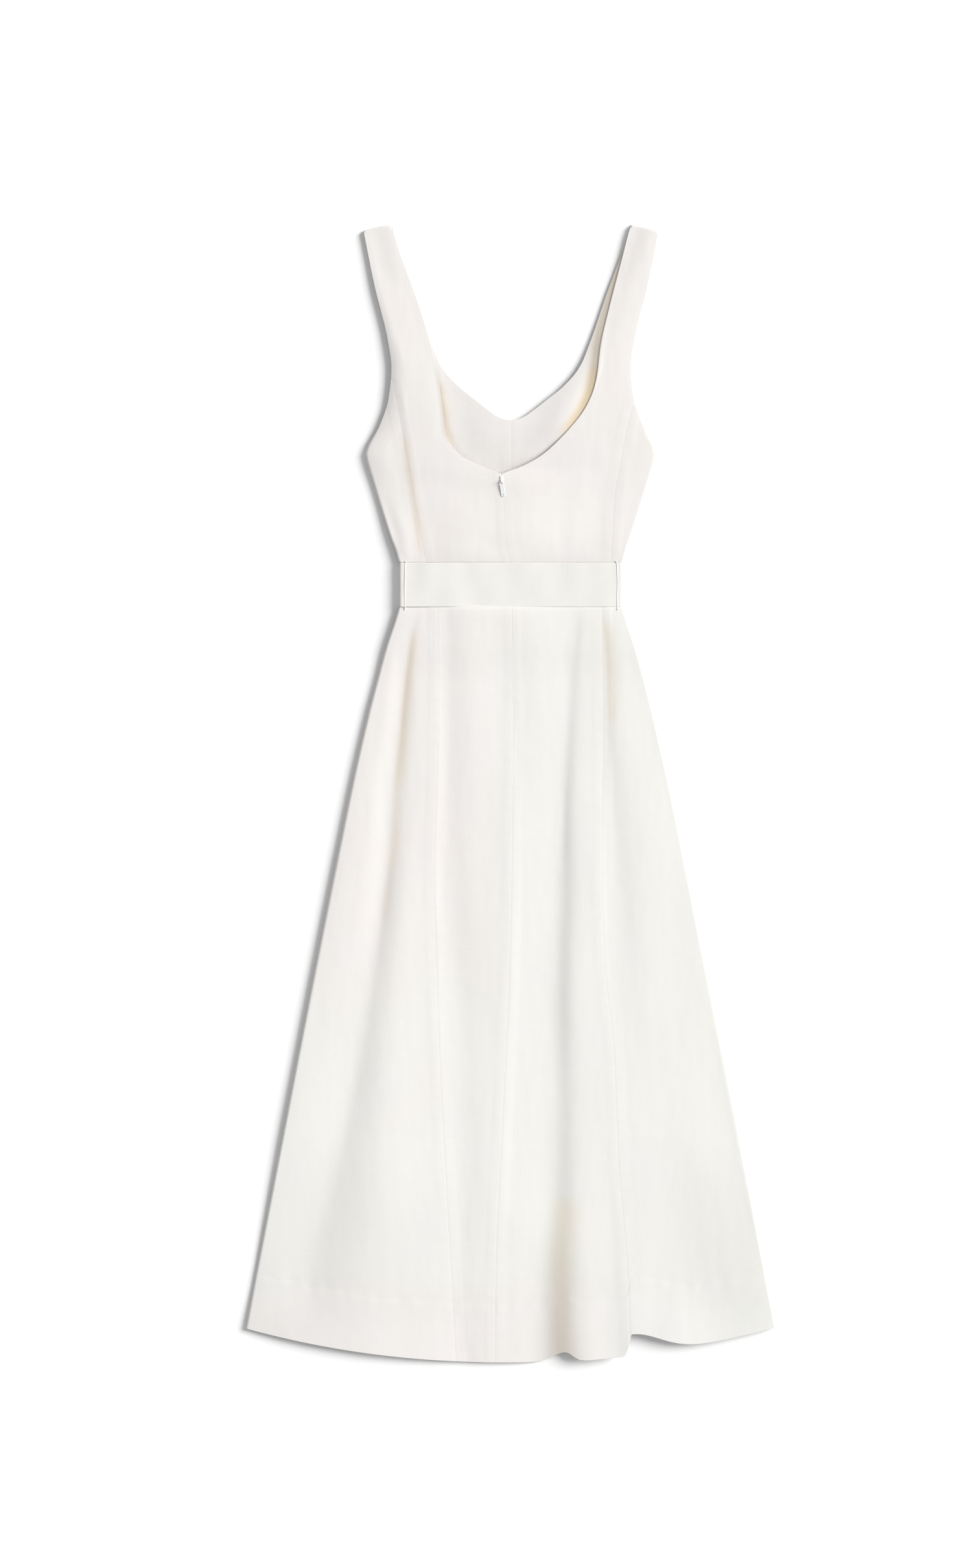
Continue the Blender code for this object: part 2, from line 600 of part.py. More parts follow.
def make_slider():
    """The slider's body at the zip's top end, and the bail on it that the tab's bar turns in."""
    outline = []
    for i in range(SLIDER_STEPS):
        angle = 2 * math.pi * i / SLIDER_STEPS
        half_width = SLIDER_WIDTH / 2 * (1 - SLIDER_TAPER * (1 - math.sin(angle)))
        outline.append((half_width * squared(math.cos(angle)), SLIDER_LENGTH / 2 * squared(math.sin(angle))))
    slider = plate("zip_slider", outline, [], SLIDER_HEIGHT, "metal")
    slider.location = place(ZIP_X, SLIDER_RISE, SLIDER_BASE + SLIDER_HEIGHT / 2)

    deck = SLIDER_BASE + SLIDER_HEIGHT
    post = (BAIL_WIDTH, BAIL_WALL, BAIL_HOLLOW + 2 * BAIL_SUNK)
    post_off = (BAIL_HOLLOW + BAIL_WALL) / 2
    bridge = (BAIL_WIDTH, BAIL_HOLLOW + 2 * BAIL_WALL, BAIL_WALL)
    for name, size, off, height in (
            ("post_up", post, post_off, deck + BAIL_HOLLOW / 2),
            ("post_down", post, -post_off, deck + BAIL_HOLLOW / 2),
            ("bridge", bridge, 0, deck + BAIL_HOLLOW + BAIL_WALL / 2)):
        piece = box(name, size, place(ZIP_X, HINGE_RISE + off, height))
        join = slider.modifiers.new("Join " + name, "BOOLEAN")
        join.operation = "UNION"
        join.object = piece
    return slider


def squared(value):
    """A cosine or sine squared off, for an outline between an ellipse and a rectangle."""
    return math.copysign(abs(value) ** SLIDER_SQUARED, value)


def plate(name, outline, holes, wall, finish):
    """A flat plate cut to an outline, with holes, both in millimetres about the object's origin."""
    data = bpy.data.curves.new(name, "CURVE")
    data.dimensions = "2D"
    data.fill_mode = "BOTH"
    data.extrude = wall * MM / 2
    for loop in [outline] + holes:
        spline = data.splines.new("POLY")
        spline.points.add(len(loop) - 1)
        for target, (x, y) in zip(spline.points, loop):
            target.co = (x * MM, y * MM, 0, 1)
        spline.use_cyclic_u = True
    guide = bpy.data.objects.new(name + "_outline", data)
    bpy.context.scene.collection.objects.link(guide)
    bpy.context.view_layer.update()
    evaluated = guide.evaluated_get(bpy.context.evaluated_depsgraph_get())
    mesh = bpy.data.meshes.new_from_object(evaluated)
    bpy.data.objects.remove(guide)
    shape = bmesh.new()
    shape.from_mesh(mesh)
    bmesh.ops.remove_doubles(shape, verts=shape.verts, dist=1e-6)
    bpy.data.meshes.remove(mesh)
    return mesh_object(name, shape, finish)


def make_tab():
    """The pull tab: a plate hinged by the bar above its eye, hanging down the zip onto the cloth."""
    half = TAB_WIDTH / 2
    bar = TAB_BAR / 2
    tip = TAB_LENGTH - bar
    turns = [math.pi * part for part in spread(TAB_STEPS)]
    outline = [(half * TAB_TOP_SHARE, bar), (-half * TAB_TOP_SHARE, bar), (-half, -TAB_SHOULDER)]
    outline += [(-half * math.cos(turn), half - tip - half * math.sin(turn)) for turn in turns]
    outline.append((half, -TAB_SHOULDER))
    eye_half = TAB_EYE / 2
    eye = [(-eye_half, -bar), (-eye_half, -TAB_EYE_END), (eye_half, -TAB_EYE_END), (eye_half, -bar)]
    hole_middle = TAB_HOLE_UP - tip
    hole = [(TAB_HOLE_RADIUS * math.cos(2 * turn), hole_middle + TAB_HOLE_RADIUS * math.sin(2 * turn))
            for turn in turns[:-1]]
    tab = plate("zip_pull_tab", outline, [eye, hole], TAB_WALL, "tab")
    tab.location = place(ZIP_X, HINGE_RISE, HINGE_HEIGHT)
    tab.rotation_euler = (TAB_REST, 0, 0)
    return tab


for leftover in list(bpy.data.objects):
    bpy.data.objects.remove(leftover)
PARTS = bpy.data.collections.new("linen_dress")
CUTTERS = bpy.data.collections.new("linen_dress_cutters")
bpy.context.scene.collection.children.link(PARTS)
bpy.context.scene.collection.children.link(CUTTERS)

BACK_LIFT_AT_BELT = along(BACK_STANDS, "inner", 0)
BELT_TOP = WAIST_LIFT + 2 * WALL + LAYER_GAP + BACK_LIFT_AT_BELT + BELT_GAP + BELT_WALL
SLIDER_RISE = ZIP_TOP - SLIDER_BELOW_TOP - SLIDER_LENGTH / 2
ZIP_X = along(BODICE_SEAMS, "centre", SLIDER_RISE)
SLIDER_BASE = back_top(ZIP_X, SLIDER_RISE) + SEAM_GAP + SLIDER_CLEARANCE
HINGE_RISE = SLIDER_RISE - SLIDER_LENGTH / 2 + BAIL_INSET + BAIL_WALL + BAIL_HOLLOW / 2
HINGE_HEIGHT = SLIDER_BASE + SLIDER_HEIGHT + BAIL_HOLLOW / 2

make_bodice()
make_skirt()
make_belt()
make_belt_loop("belt_loop_left", -1)
make_belt_loop("belt_loop_right", 1)
make_zip_chain()
make_slider()
make_tab()
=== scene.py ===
"""The looks of a sleeveless linen dress laid flat with its back up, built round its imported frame.

X runs across the dress, Y up its length towards the straps, and Z up from the surface that it lies on.
Sizes are in millimetres, and become metres where a mesh is made. A height along the dress is its rise,
measured from the waist seam, and is negative on the skirt. Left and right are the wearer's. Every panel
is a thin shell on a fine grid: its outline, the way it stands off the panel under it, its folds, its
seams and its turned edges all come from the tables below.
"""
import json
import math
from collections import namedtuple
from types import SimpleNamespace

import bpy
import numpy as np
from mathutils import Matrix, Vector


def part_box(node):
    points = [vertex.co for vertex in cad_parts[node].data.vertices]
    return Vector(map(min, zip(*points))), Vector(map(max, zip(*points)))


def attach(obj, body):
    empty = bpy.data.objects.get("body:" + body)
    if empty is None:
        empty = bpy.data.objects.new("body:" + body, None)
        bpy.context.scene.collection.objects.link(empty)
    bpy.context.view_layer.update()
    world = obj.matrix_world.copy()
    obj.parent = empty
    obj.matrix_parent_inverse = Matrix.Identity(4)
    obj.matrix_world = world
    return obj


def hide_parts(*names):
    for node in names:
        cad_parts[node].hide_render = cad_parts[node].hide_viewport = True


MM = 0.001
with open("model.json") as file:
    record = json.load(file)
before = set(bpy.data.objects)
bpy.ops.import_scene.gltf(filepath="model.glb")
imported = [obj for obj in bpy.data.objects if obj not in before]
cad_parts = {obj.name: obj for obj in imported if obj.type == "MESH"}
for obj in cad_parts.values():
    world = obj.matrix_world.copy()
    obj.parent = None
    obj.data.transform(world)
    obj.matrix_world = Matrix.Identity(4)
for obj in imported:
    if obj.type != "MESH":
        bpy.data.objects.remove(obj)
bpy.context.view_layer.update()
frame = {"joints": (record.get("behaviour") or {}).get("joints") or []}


def table(columns, *rows):
    """Rows with named columns."""
    Row = namedtuple("Row", columns)
    return [Row(*row) for row in rows]


# The frame's own sizes, which the tables below keep to.
TOP_RISE = 412  # the strap folds
HEM_RISE = -888  # the lowest point of the hem
MIDDLE_RISE = (TOP_RISE + HEM_RISE) / 2
BEYOND = 2000  # a rise past both ends of the dress
SEAM_GAP = 0.01  # what is left between two panels that are sewn together
CLOTH = 1  # linen, pressed
HEM_CLOTH = 1.35  # where it is turned up
SLACK = 0.8  # that the back's solid stands off beyond the cloth's own thickness

# Half of the dress's width at each rise, from hem to strap.
OUTLINE = table(
    "rise half",
    (-888, 311), (-847, 303), (-664, 268), (-442, 225), (-294, 195.5), (-220, 180.3), (-145, 163),
    (-108, 153.3), (-71, 143), (-42, 133), (-31, 129.6), (-26, 128), (-25, 125.6), (25, 125.6), (26, 128),
    (31, 129.6), (40, 132.2), (53, 137.2), (88, 148.8), (124, 160), (143, 165.6), (149, 166.6), (156, 164.8),
    (182, 150), (214, 139.8), (248, 136.7), (281, 141.2), (342, 156), (405, 168.7))
UNDERARM = 149  # the side seams end here, and the armholes begin
STRAP = SimpleNamespace(
    width=33, corner=2.5,
    bow=1.2,  # a strap's top fold bows up by this much
    shaped=14)  # length over which the strap's lines take that shape

# The skirt's and the bodice's back seams. The centre one holds the zip.
SKIRT_SEAMS = table(
    "rise left centre right",
    (0, -84, 0.6, 103), (-150, -83.5, 2.2, 104.5), (-330, -88, 0.5, 103.5), (-440, -85, -2.2, 107.5),
    (-530, -82, -6, 117), (-652, -76, -12, 122), (-774, -69, -17.5, 132), (-888, -63, -18.5, 137))
BODICE_SEAMS = table(
    "rise left centre right",
    (0, -94.5, 0.6, 113), (26, -97.4, -0.4, 113.7), (42, -100.5, -4.8, 114.6), (69, -105.6, -7, 116),
    (103, -112, -9, 118.1), (126, -115.8, -11.5, 122), (177, -124.8, -11.5, 131.6),
    (207, -130.4, -11.5, 139.2), (235, -135.4, -11.5, 148))
LEFT_SEAM_TOP = 235
RIGHT_SEAM_TOP = 207

# Inner edge of the straps and necklines: distance from the middle at each rise.
FRONT_NECK_LEFT = table(
    "rise side",
    (188.2, 0), (188.8, 6), (191, 12.5), (200.8, 27), (212.6, 42), (224.5, 57), (243, 75), (256, 83),
    (270, 88.8), (318, 104.3), (357, 118.2), (384, 128), (412, 136))
FRONT_NECK_RIGHT = table(
    "rise side",
    (188.2, 0), (188.8, 6), (191, 12.5), (200.8, 27), (212.6, 42), (224.5, 57), (243, 74.2), (256, 81.8),
    (270, 87.4), (297, 97.2), (318, 104.2), (334, 109.6), (357, 118.2), (371, 123.3), (384, 128), (412, 136))
BACK_NECK_LEFT = table(
    "rise side",
    (126.3, 11.5), (133, 29), (141, 46), (147, 57), (157, 67.5), (172, 75.8), (194, 78.4), (231, 82.6),
    (265, 89.4), (318, 105), (357, 118.9), (384, 128.6), (412, 136.4))
BACK_NECK_RIGHT = table(
    "rise side",
    (126.3, -11.5), (130, -2), (135.2, 12), (147.8, 34.6), (165.5, 54.6), (179.6, 67.8), (200.4, 83.8),
    (221.8, 93.8), (240.4, 98.2), (273.7, 102.2), (314.4, 111.5), (371.5, 126.3), (412, 136.4))

# A cross-line of a bodice panel joins these two rises, on its inner and its outer edge.
BACK_STATIONS = table(
    "inner outer",
    (0, 0), (26, 26), (34, 33), (80, 62), (126.3, 92), (134, 118), (150, 148), (178, 176), (209, 207),
    (240, 235), (300, 295), (360, 354), (412, 405))
FRONT_STATIONS = table(
    "inner outer",
    (0, 0), (27, 27), (54, 50), (80, 76), (134, 110), (188.2, 149), (188.8, 151), (191, 154), (202, 166),
    (226, 192), (256, 238), (300, 293), (360, 354), (412, 405))

# How high the back stands off the front: at its left and right edges, further in, and over what distance.
BACK_STANDS = table(
    "rise left right inner reach",
    (-888, 3.8, 4.4, 4.6, 60), (-500, 3.8, 4.4, 4.6, 60), (-200, 3.6, 4.3, 4.4, 50), (-80, 3.2, 3.9, 4, 40),
    (-45, 2.2, 2.7, 2.8, 30), (-26, 1.7, 1.9, 1.9, 20), (-24, 0.8, 0.9, 0.9, 20), (24, 0.8, 0.9, 0.9, 20),
    (26, 1.7, 1.9, 1.9, 20), (45, 2.6, 3, 3.1, 30), (90, 3.2, 4.4, 4.6, 30), (150, 3.6, 5.6, 6, 26),
    (200, 3.8, 6.2, 6.6, 22), (250, 3.6, 5.4, 5.8, 16), (300, 3, 3.8, 4, 10), (380, 2.3, 2.5, 2.5, 8),
    (412, 2.1, 2.2, 2.2, 8))
LEAST_STAND = 0.2
LEAST_GAP = 0.3  # between the front and the back, away from the sides
ROLL = 2.2  # width over which the back rolls down to meet the front
ARMHOLE_OPENS = 30  # length over which the front and back part above the underarm
WAIST_LIFT = 3.8  # the front is lifted here by the belt's lapped run beneath it
WAIST_LEVEL = 27
WAIST_FADE = 88

# Where the front stands off the surface: inside the neckline, and along its right side.
NECK_SWELL = table("x rise width length height", (22, 178, 56, 52, 3.8))[0]
NECK_RIDGE = table(
    "rise x height reach",
    (135, 10, 0, 30), (160, 50, 2.4, 28), (185, 62, 5.3, 30), (215, 76, 6.6, 34), (245, 88, 5.9, 34),
    (274, 98, 4.3, 30), (300, 104, 3.3, 26), (345, 118, 2.2, 24), (412, 138, 0.4, 24))

Fold = namedtuple("Fold", "left_fade right_fade rows")


def fold(fades, reach, *rows):
    """The cloth climbs towards the right across a fold's line, and comes level again over its two fades.

    Each row has a rise, the line's x and the slope there. The slope reaches as far to the left and to the
    right as the fold's reach says, or the row's own.
    """
    full = [row + reach[len(row) - 3:] for row in rows]
    return Fold(*fades, table("rise x slope left right", *full))


WAIST_FOLD_LEFT = fold((42, 70), (3, 6), (-24, -100, 0), (-50, -110, 0.09), (-90, -116, 0.19),
    (-130, -120.5, 0.2, 3, 8), (-180, -125, 0.17, 3.5, 8), (-240, -131, 0.12, 5, 10),
    (-300, -134.5, 0.15, 5, 12), (-353, -141, 0.18, 5, 13), (-471, -155, 0.13, 8, 18),
    (-590, -175, 0.12, 10, 26), (-708, -200, 0.09, 13, 45), (-790, -211, 0.05, 22, 50),
    (-850, -218, 0, 22, 50))
LONG_FOLD = fold((100, 150), (5, 4), (-20, 80, 0, 8, 6), (-34, 79, 0.05), (-57, 77, 0.09),
    (-86, 73.5, 0.1, 6, 7), (-146, 70.5, 0.13, 6, 8), (-200, 66.5, 0.17, 5, 8), (-260, 63.5, 0.21, 4, 8),
    (-353, 63, 0.18, 8, 10), (-471, 61, 0.2, 11, 9), (-590, 62, 0.16, 12, 12), (-708, 60, 0.2, 14, 15),
    (-790, 56, 0.29, 21, 20), (-842, 56, 0.33, 21, 21), (-888, 58, 0.35, 22, 22))
WAIST_FOLD_RIGHT = fold((45, 60), (2, 6), (-20, 106, 0), (-34, 106, 0.05), (-57, 108, 0.1, 2, 10),
    (-116, 112.5, 0.12, 4, 8), (-150, 113, 0.12, 4, 8), (-234, 120, 0.07, 8, 12), (-353, 130, 0.05, 8, 14),
    (-471, 145, 0.01, 10, 14), (-530, 150, 0, 10, 14))
SIDE_FOLD = fold((30, 40), (3, 4), (24, -102, 0), (40, -104, 0.07), (77, -109, 0.12), (106, -113.5, 0.115),
    (151, -120, 0.11, 3, 5), (195, -124, 0.09), (225, -128, 0))
FOLDS = [
    WAIST_FOLD_LEFT,
    LONG_FOLD,
    WAIST_FOLD_RIGHT,
    fold((30, 90), (5, 20), (-20, -70, 0), (-34, -70, 0.04), (-57, -66, 0.035, 6, 18),
        (-234, -62, 0.045, 8, 18), (-412, -53, 0.06, 12, 20), (-649, -44, 0.05, 14, 20),
        (-820, -50, 0.06, 14, 25), (-888, -45, 0.07, 14, 20)),
    fold((50, 40), (34, 34), (-22, 2, 0), (-50, 2, 0.035), (-180, 2, 0.035), (-350, -14, 0.03),
        (-600, -14, 0.035), (-700, -14, 0)),
    fold((24, 24), (14, 14), (250, 104, 0), (300, 118, 0.035), (340, 128, 0.05), (375, 140, 0.08),
        (412, 152, 0.08)),
    fold((60, 90), (28, 28), (-650, 118, 0), (-720, 120, 0.03), (-790, 124, 0.055),
        (-840, 128, 0.075, 24, 24), (-888, 134, 0.08, 20, 20)),
    fold((100, 60), (30, 28), (-640, -8, 0), (-760, -10, 0.045), (-840, -10, 0.065), (-888, -10, 0.075)),
    fold((30, 30), (9, 9), (-50, -124, 0), (-86, -131, -0.05), (-146, -136, -0.08, 10, 10),
        (-234, -147, -0.07, 12, 12), (-353, -157, -0.06, 13, 13), (-450, -168, 0, 14, 14)),
    fold((60, 140), (30, 60), (-470, -165, 0, 30, 45), (-590, -160, 0.03, 30, 45), (-708, -168, 0.035),
        (-790, -170, 0.02), (-888, -170, 0.02)),
    fold((250, 220), (70, 90), (-630, -200, 0), (-720, -200, 0.03), (-800, -225, 0.05),
        (-845, -262, 0.05, 40, 60), (-888, -265, 0.05, 40, 60)),
    fold((160, 250), (70, 70), (-630, 230, 0), (-720, 235, 0.045), (-800, 240, 0.06), (-850, 240, 0.02),
        (-888, 240, 0.01)),
    fold((30, 50), (15, 15), (-690, 176, 0), (-800, 176, 0.03), (-850, 174, 0.05, 14, 14),
        (-888, 172, 0.04, 14, 14)),
    SIDE_FOLD,
    fold((70, 80), (36, 45), (24, -74, 0.03), (45, -76, 0.06), (75, -86, 0.055, 40, 45),
        (105, -100, 0.045, 45, 45), (200, -108, 0.04, 40, 40), (260, -114, 0, 30, 30)),
    fold((12, 14), (8, 8), (26, -121, 0, 6, 6), (38, -125, 0.09), (62, -129, 0.11, 9, 9), (85, -136, 0.06),
        (105, -141, 0)),
    fold((40, 80), (30, 26), (27, -2, 0), (48, -2, 0.045), (105, -2, 0.045), (135, 0, 0)),
    fold((70, 90), (30, 30), (42, -42, 0), (62, -42, 0.035), (112, -42, 0.045), (134, -42, 0)),
    fold((45, 36), (18, 14), (27, 108, 0), (48, 112, 0.05), (108, 117, 0.045), (150, 126, 0)),
    fold((24, 24), (14, 14), (335, -131, 0), (368, -140, 0.05), (412, -152, 0.05)),
    fold((8, 8), (2.5, 3), (150, -60, 0, 2, 3), (172, -75, 0.12), (194, -77.6, 0.15), (231, -82, 0.13),
        (262, -88, 0)),
    fold((14, 24), (2, 3), (-20, -81, 0), (-34, -81, -0.06), (-150, -80.5, -0.08, 2.5, 4),
        (-330, -84, -0.09, 2.5, 4), (-440, -81, -0.06), (-530, -79, -0.05), (-652, -73, -0.03),
        (-774, -66, -0.01), (-888, -60, 0)),
    fold((14, 24), (2, 8), (-140, 4, 0, 2, 6), (-180, 4, -0.03, 2, 6), (-330, 4, -0.04, 2, 7),
        (-440, 2, -0.05), (-530, -2, -0.05), (-652, -8, -0.04), (-774, -13, -0.03), (-888, -14, -0.02)),
    fold((12, 24), (2, 3), (-200, 107, 0), (-260, 106, -0.03), (-330, 106, -0.06), (-440, 110, -0.05),
        (-530, 120, -0.04), (-652, 125, -0.03), (-774, 135, -0.03), (-888, 140, -0.03)),
    fold((20, 30), (8, 8), (28, 66, 0), (54, 66, 0.03), (106, 70, 0.02), (130, 72, 0)),
]

# The front climbs to the right along both sides of the back's neckline.
NECK_FOLD_LEFT = fold((30, 60), (4, 5), (132, -34, 0, 6, 8), (150, -61, 0.1, 5, 6), (165, -71.5, 0.22),
    (180, -77.5, 0.32, 4, 4.5), (195, -79.5, 0.36, 4, 4.5), (212, -82.5, 0.34, 4, 4.5), (228, -85.5, 0.28),
    (245, -89, 0.12), (262, -93, 0))
NECK_FOLD_RIGHT = fold((60, 30), (4, 5), (166, 52, 0), (180, 65, 0.13), (203, 81, 0.3),
    (222, 89.5, 0.36, 4.5, 5), (245, 94.5, 0.36, 5, 5), (274, 98, 0.33, 5, 5), (314, 107, 0.31, 4, 4),
    (345, 115.5, 0.3, 3.5, 4), (372, 123, 0.24, 3, 4), (395, 129, 0, 3, 4))
FRONT_FOLDS = [
    fold((40, 40), (25, 25), (135, -40, 0), (175, -46, 0.05), (215, -54, 0.05), (255, -72, 0)),
    NECK_FOLD_LEFT,
    NECK_FOLD_RIGHT,
]

# Painted shade: the creases are painted brown, for the warm shade where light has come through the cloth.
# The tables give how far along the fold's line and to each side of it, and how strongly.
PAINTED_CREASE_SHADE_COLUMNS = "fold low high left right share"
BACK_PAINTED_CREASE_SHADES = table(
    PAINTED_CREASE_SHADE_COLUMNS,
    (WAIST_FOLD_LEFT, -240, -45, 5, 8, 0.4),
    (WAIST_FOLD_LEFT, -390, -215, 5, 8, 0.2),
    (LONG_FOLD, -920, -690, 14, 16, 0.36),
    (WAIST_FOLD_RIGHT, -170, -30, 4, 9, 0.28),
    (SIDE_FOLD, 26, 180, 4, 6, 0.32))
FRONT_PAINTED_CREASE_SHADES = table(
    PAINTED_CREASE_SHADE_COLUMNS,
    (NECK_FOLD_LEFT, 150, 245, 5, 8, 0.55),
    (NECK_FOLD_RIGHT, 165, 396, 7, 12, 0.5),
    (NECK_FOLD_RIGHT, 162, 260, 7, 12, 0.5))
PAINTED_CREASE_SHADE_FADE = 25

# The hem is an arc, and is pulled up where folds take it.
HEM = SimpleNamespace(
    radius=1168, middle=-4, passes=6, depth=65, fade=1.6,
    turn=-560,  # rows lie level down to here, then bend into the hem's line
    step=0.15)  # the turned-up hem stands this much higher
HEM_PULLS = table("x left right height", (62, 20, 11, 10.5), (137.5, 4, 46, 24.5))
FRONT_PULLS = table("x left right height", (62, 30, 30, 10.5), (137.5, 36, 60, 25.5))
FRONT_HEM_INSET = 2
FRONT_INSET = 0.3
STITCH = SimpleNamespace(
    spacing=9, reach=0.9, depth=0.22,
    below=2)  # the hem's stitches lie this far under its upper edge
DRAWN = SimpleNamespace(
    reach=9, beat=(23, (2, 31)),
    height=0.07)  # the stitches draw the cloth up and down between them

# Seams and edges.
GROOVE_DEPTH = 0.05
GROOVE_REACH = 2.5
CREASE_DEPTH = 0.035  # the stitched line itself
CREASE_REACH = 0.6
ALLOWANCE = 9  # the seam allowances lie open behind the seam, this wide each
ALLOWANCE_STEP = 0.08
PUCKER = 0.04
PUCKER_REACH = 6
PUCKER_BEAT = (15, (2.2, 47), (1, 19))
ZIP_WELT = 7  # the folded edges over the zip
ZIP_WELT_STEP = 0.1
BAND_FADE = 3  # allowances and welts end over this distance
EDGE_ROUND = 0.12  # a turned edge is rounded over this distance
EDGE_BAND = 6  # and is thicker within this one
EDGE_BAND_FADE = 2
EDGE_STEP = 0.03
ZIP_ROUND = 0.25
SEAM_RIM = 0.98  # share of the cloth's thickness that is left at a seam
FREE_RIM = 0.8  # and at a turned edge
SIDE_RIM = 0.05  # where the back and the front run into each other
SIDE_CALM = 12  # unevenness fades out over this distance towards a side

# The unevenness of pressed linen, as waves of about one length.
WAVE_COUNT = 20
WAVE_RANGE = (0.6, 1.8)
WAVE_STRETCH = 2.2  # it is this much longer along the dress than across it
CREPE = 0.02
CREPE_LENGTH = 16
RUMPLE = 0.1
RUMPLE_LENGTH = 70
RUMPLE_SEED = 50
Layer = namedtuple("Layer", "seed tinges")
BACK = Layer(1, BACK_PAINTED_CREASE_SHADES)
FRONT = Layer(5, FRONT_PAINTED_CREASE_SHADES)

# Share of pink in the linen's white, which paints the warm colour of its shade and partly varies at random:
# the whole skirt, its upper left, its hem, and the bodice but for a paler patch, painted where light falls.
WARM_SHADE_AND_TONE_AT = SimpleNamespace(
    skirt=0.15, upper_left=0.75, hem=0.7, bodice=0.95, waves=0.12, wave_length=90, seed=40)
PAINTED_LIT_PATCH = SimpleNamespace(patch=0.4, place=(60, 80), reach=40)
PAINTED_HEM_SHADE = 0.035  # painted shade: the skirt is painted darker by this share towards the hem
PAINTED_HEM_SHADE_START = 610
PAINTED_HEM_SHADE_LENGTH = 220

# Spacing of the grids.
BACK_STEP = 2.6
BODICE_STEP = 2.2
FRONT_STEP = 4.5
FRONT_BODICE_STEP = 2.4
EDGE_LINES = (0, 0.12, 0.35, 0.8, 1.5, 2.6)
GORE_RISE = -500  # where a gore's width is taken
BACK_BODICE_WIDTH = 100
SIDE_BODY_WIDTH = 40
FRONT_BODICE_WIDTH = 120

# How far a panel's threads lean away from the dress's length.
SIDE_GORE_LEAN = 0.16
CENTRE_GORE_LEAN = 0.02
BODICE_LEAN = 0.03
SIDE_BODY_LEAN = 0.2

BELT = SimpleNamespace(
    width=50, wall=0.7, half_length=127.5, turn=0.9, turn_steps=13, steps=60, row_step=2.5, round=0.4,
    rim=0.02, end_round=1.2, end_rim=0.05, gap=0.05, lap_start=42, lap_end=-40, climb_start=24,
    climb_end=-2, stitch_depth=0.06, waves=table("height seed length", (0.12, 20, 30), (0.1, 21, 90)),
    sway=0.35, sway_lengths=(47, 131), painted_warm_shade_and_tone=0.3, left_shade_start=88, left_shade_fade=30,
    stitch=22,  # the stitched line, from the belt's middle
    end_painted_warm_shade_and_tone=0.6)  # painted shade, added towards the belt's left end

# The belt loops. The sizes of strands, knots and tail, and the rest, are shares of the thread's radius.
LOOP = SimpleNamespace(
    side=121.2, radius=0.52, top=26.6, foot=-28.2, points=141, bow=0.05, shoulder=0.4, hook=1.2,
    hook_start=0.8, sway=0.15, sway_turn=5, strand_off=0.28, strand_radius=0.68, strand_twist=5.2,
    knot_size=1.15, knot_radius=0.5, knot_squash=0.9, tail_end_radius=0.3, tail_points=9,
    tail_run=(-4, 1.6, -0.2), rest=0.7,
    sunk=0.1)  # the thread's middle lies this far under the belt's face

ZIP_TOP = 125
ZIP_BOTTOM = -135
COIL = SimpleNamespace(
    step=0.2, pitch=1.6, shift=0.75, width=0.95, height=0.28, radius=0.3, sides=6,
    drop=0.7)  # the coil lies this far under the cloth
TAPE = SimpleNamespace(width=4, inner=0.8, drop=0.5, wall=0.3, sampling=20)

# The slider's outline is drawn in by an inset at each height over its base and its deck.
SLIDER = SimpleNamespace(
    length=8.4, width=4.6, height=1.1, sunk=0.35, taper=0.14, points=32, squareness=0.55,
    foot=table("inset height", (0.3, 0), (0, 0.25)),
    deck=table("inset height", (0, -0.4), (0.12, -0.15), (0.4, 0)))
BAIL = SimpleNamespace(wall=0.8, hollow=1.8, sunk=0.25, sides=10)
ARCH_POINTS = 17
TAB = SimpleNamespace(
    length=18, width=4.8, wall=0.4, bevel=0.16, eye=2.3, bar=0.9, eye_end=3.4, rest=0.075, neck=0.95,
    neck_drop=0.6, shoulder=1.5, hole=0.6, hole_up=2.2, hole_points=16,
    lean=0.14,  # the tab hangs this far aside, in radians
    head=0.75)  # share of its width at its upper end
HINGE = Vector(frame["joints"][0]["pos_m"])

KEY = SimpleNamespace(strength=4.75, spread=34, elevation=28, turn=20, colour=(1, 0.995, 0.985))
SURROUND = SimpleNamespace(colour=(0.99, 0.995, 1, 1), strength=0.44)
FLOOR_HALF = 6
FLOOR_COLOURS = ((0.945, 0.945, 0.945, 1), (0.95, 0.95, 0.95, 1))
CAMERA_PLACE = (-0.0241, 0.0107, 4.233)

# Painted light and shade: the linen is tinted cool where light falls and warm where it lies in shade.
COOL = (0.997, 1.008, 0.995, 1)
WARM = (1.003, 0.980, 0.984, 1)
PLAIN = (1, 1, 1, 1)
# The painted hem shade darkens towards this.
BLACK = (0, 0, 0, 1)
# Painted shade: the brown that the creases are painted with.
PAINTED_CREASE_SHADE = (1, 0.87, 0.64, 1)
# Shares of the linen's colour in its light, dark and warm threads, and of the painted shade in the hollows
# between them, which also colours its dark flecks.
LIGHT_SHARE = (1.006, 1.006, 1.006)
DARK_SHARE = (0.978, 0.975, 0.97)
WARM_SHARE = (1, 0.99, 0.965)
HOLLOW_SHADE_AND_FLECK_SHARE = (0.93, 0.93, 0.93)
# Lengths of the slubs and flecks across and along the dress.
DOWN_SLUB = (1.7, 38)
ACROSS_SLUB = (44, 1.5)
FLECK = (1.2, 5)
LINEN_ROUGHNESS = 0.85
LINEN_SHEEN = 0.12


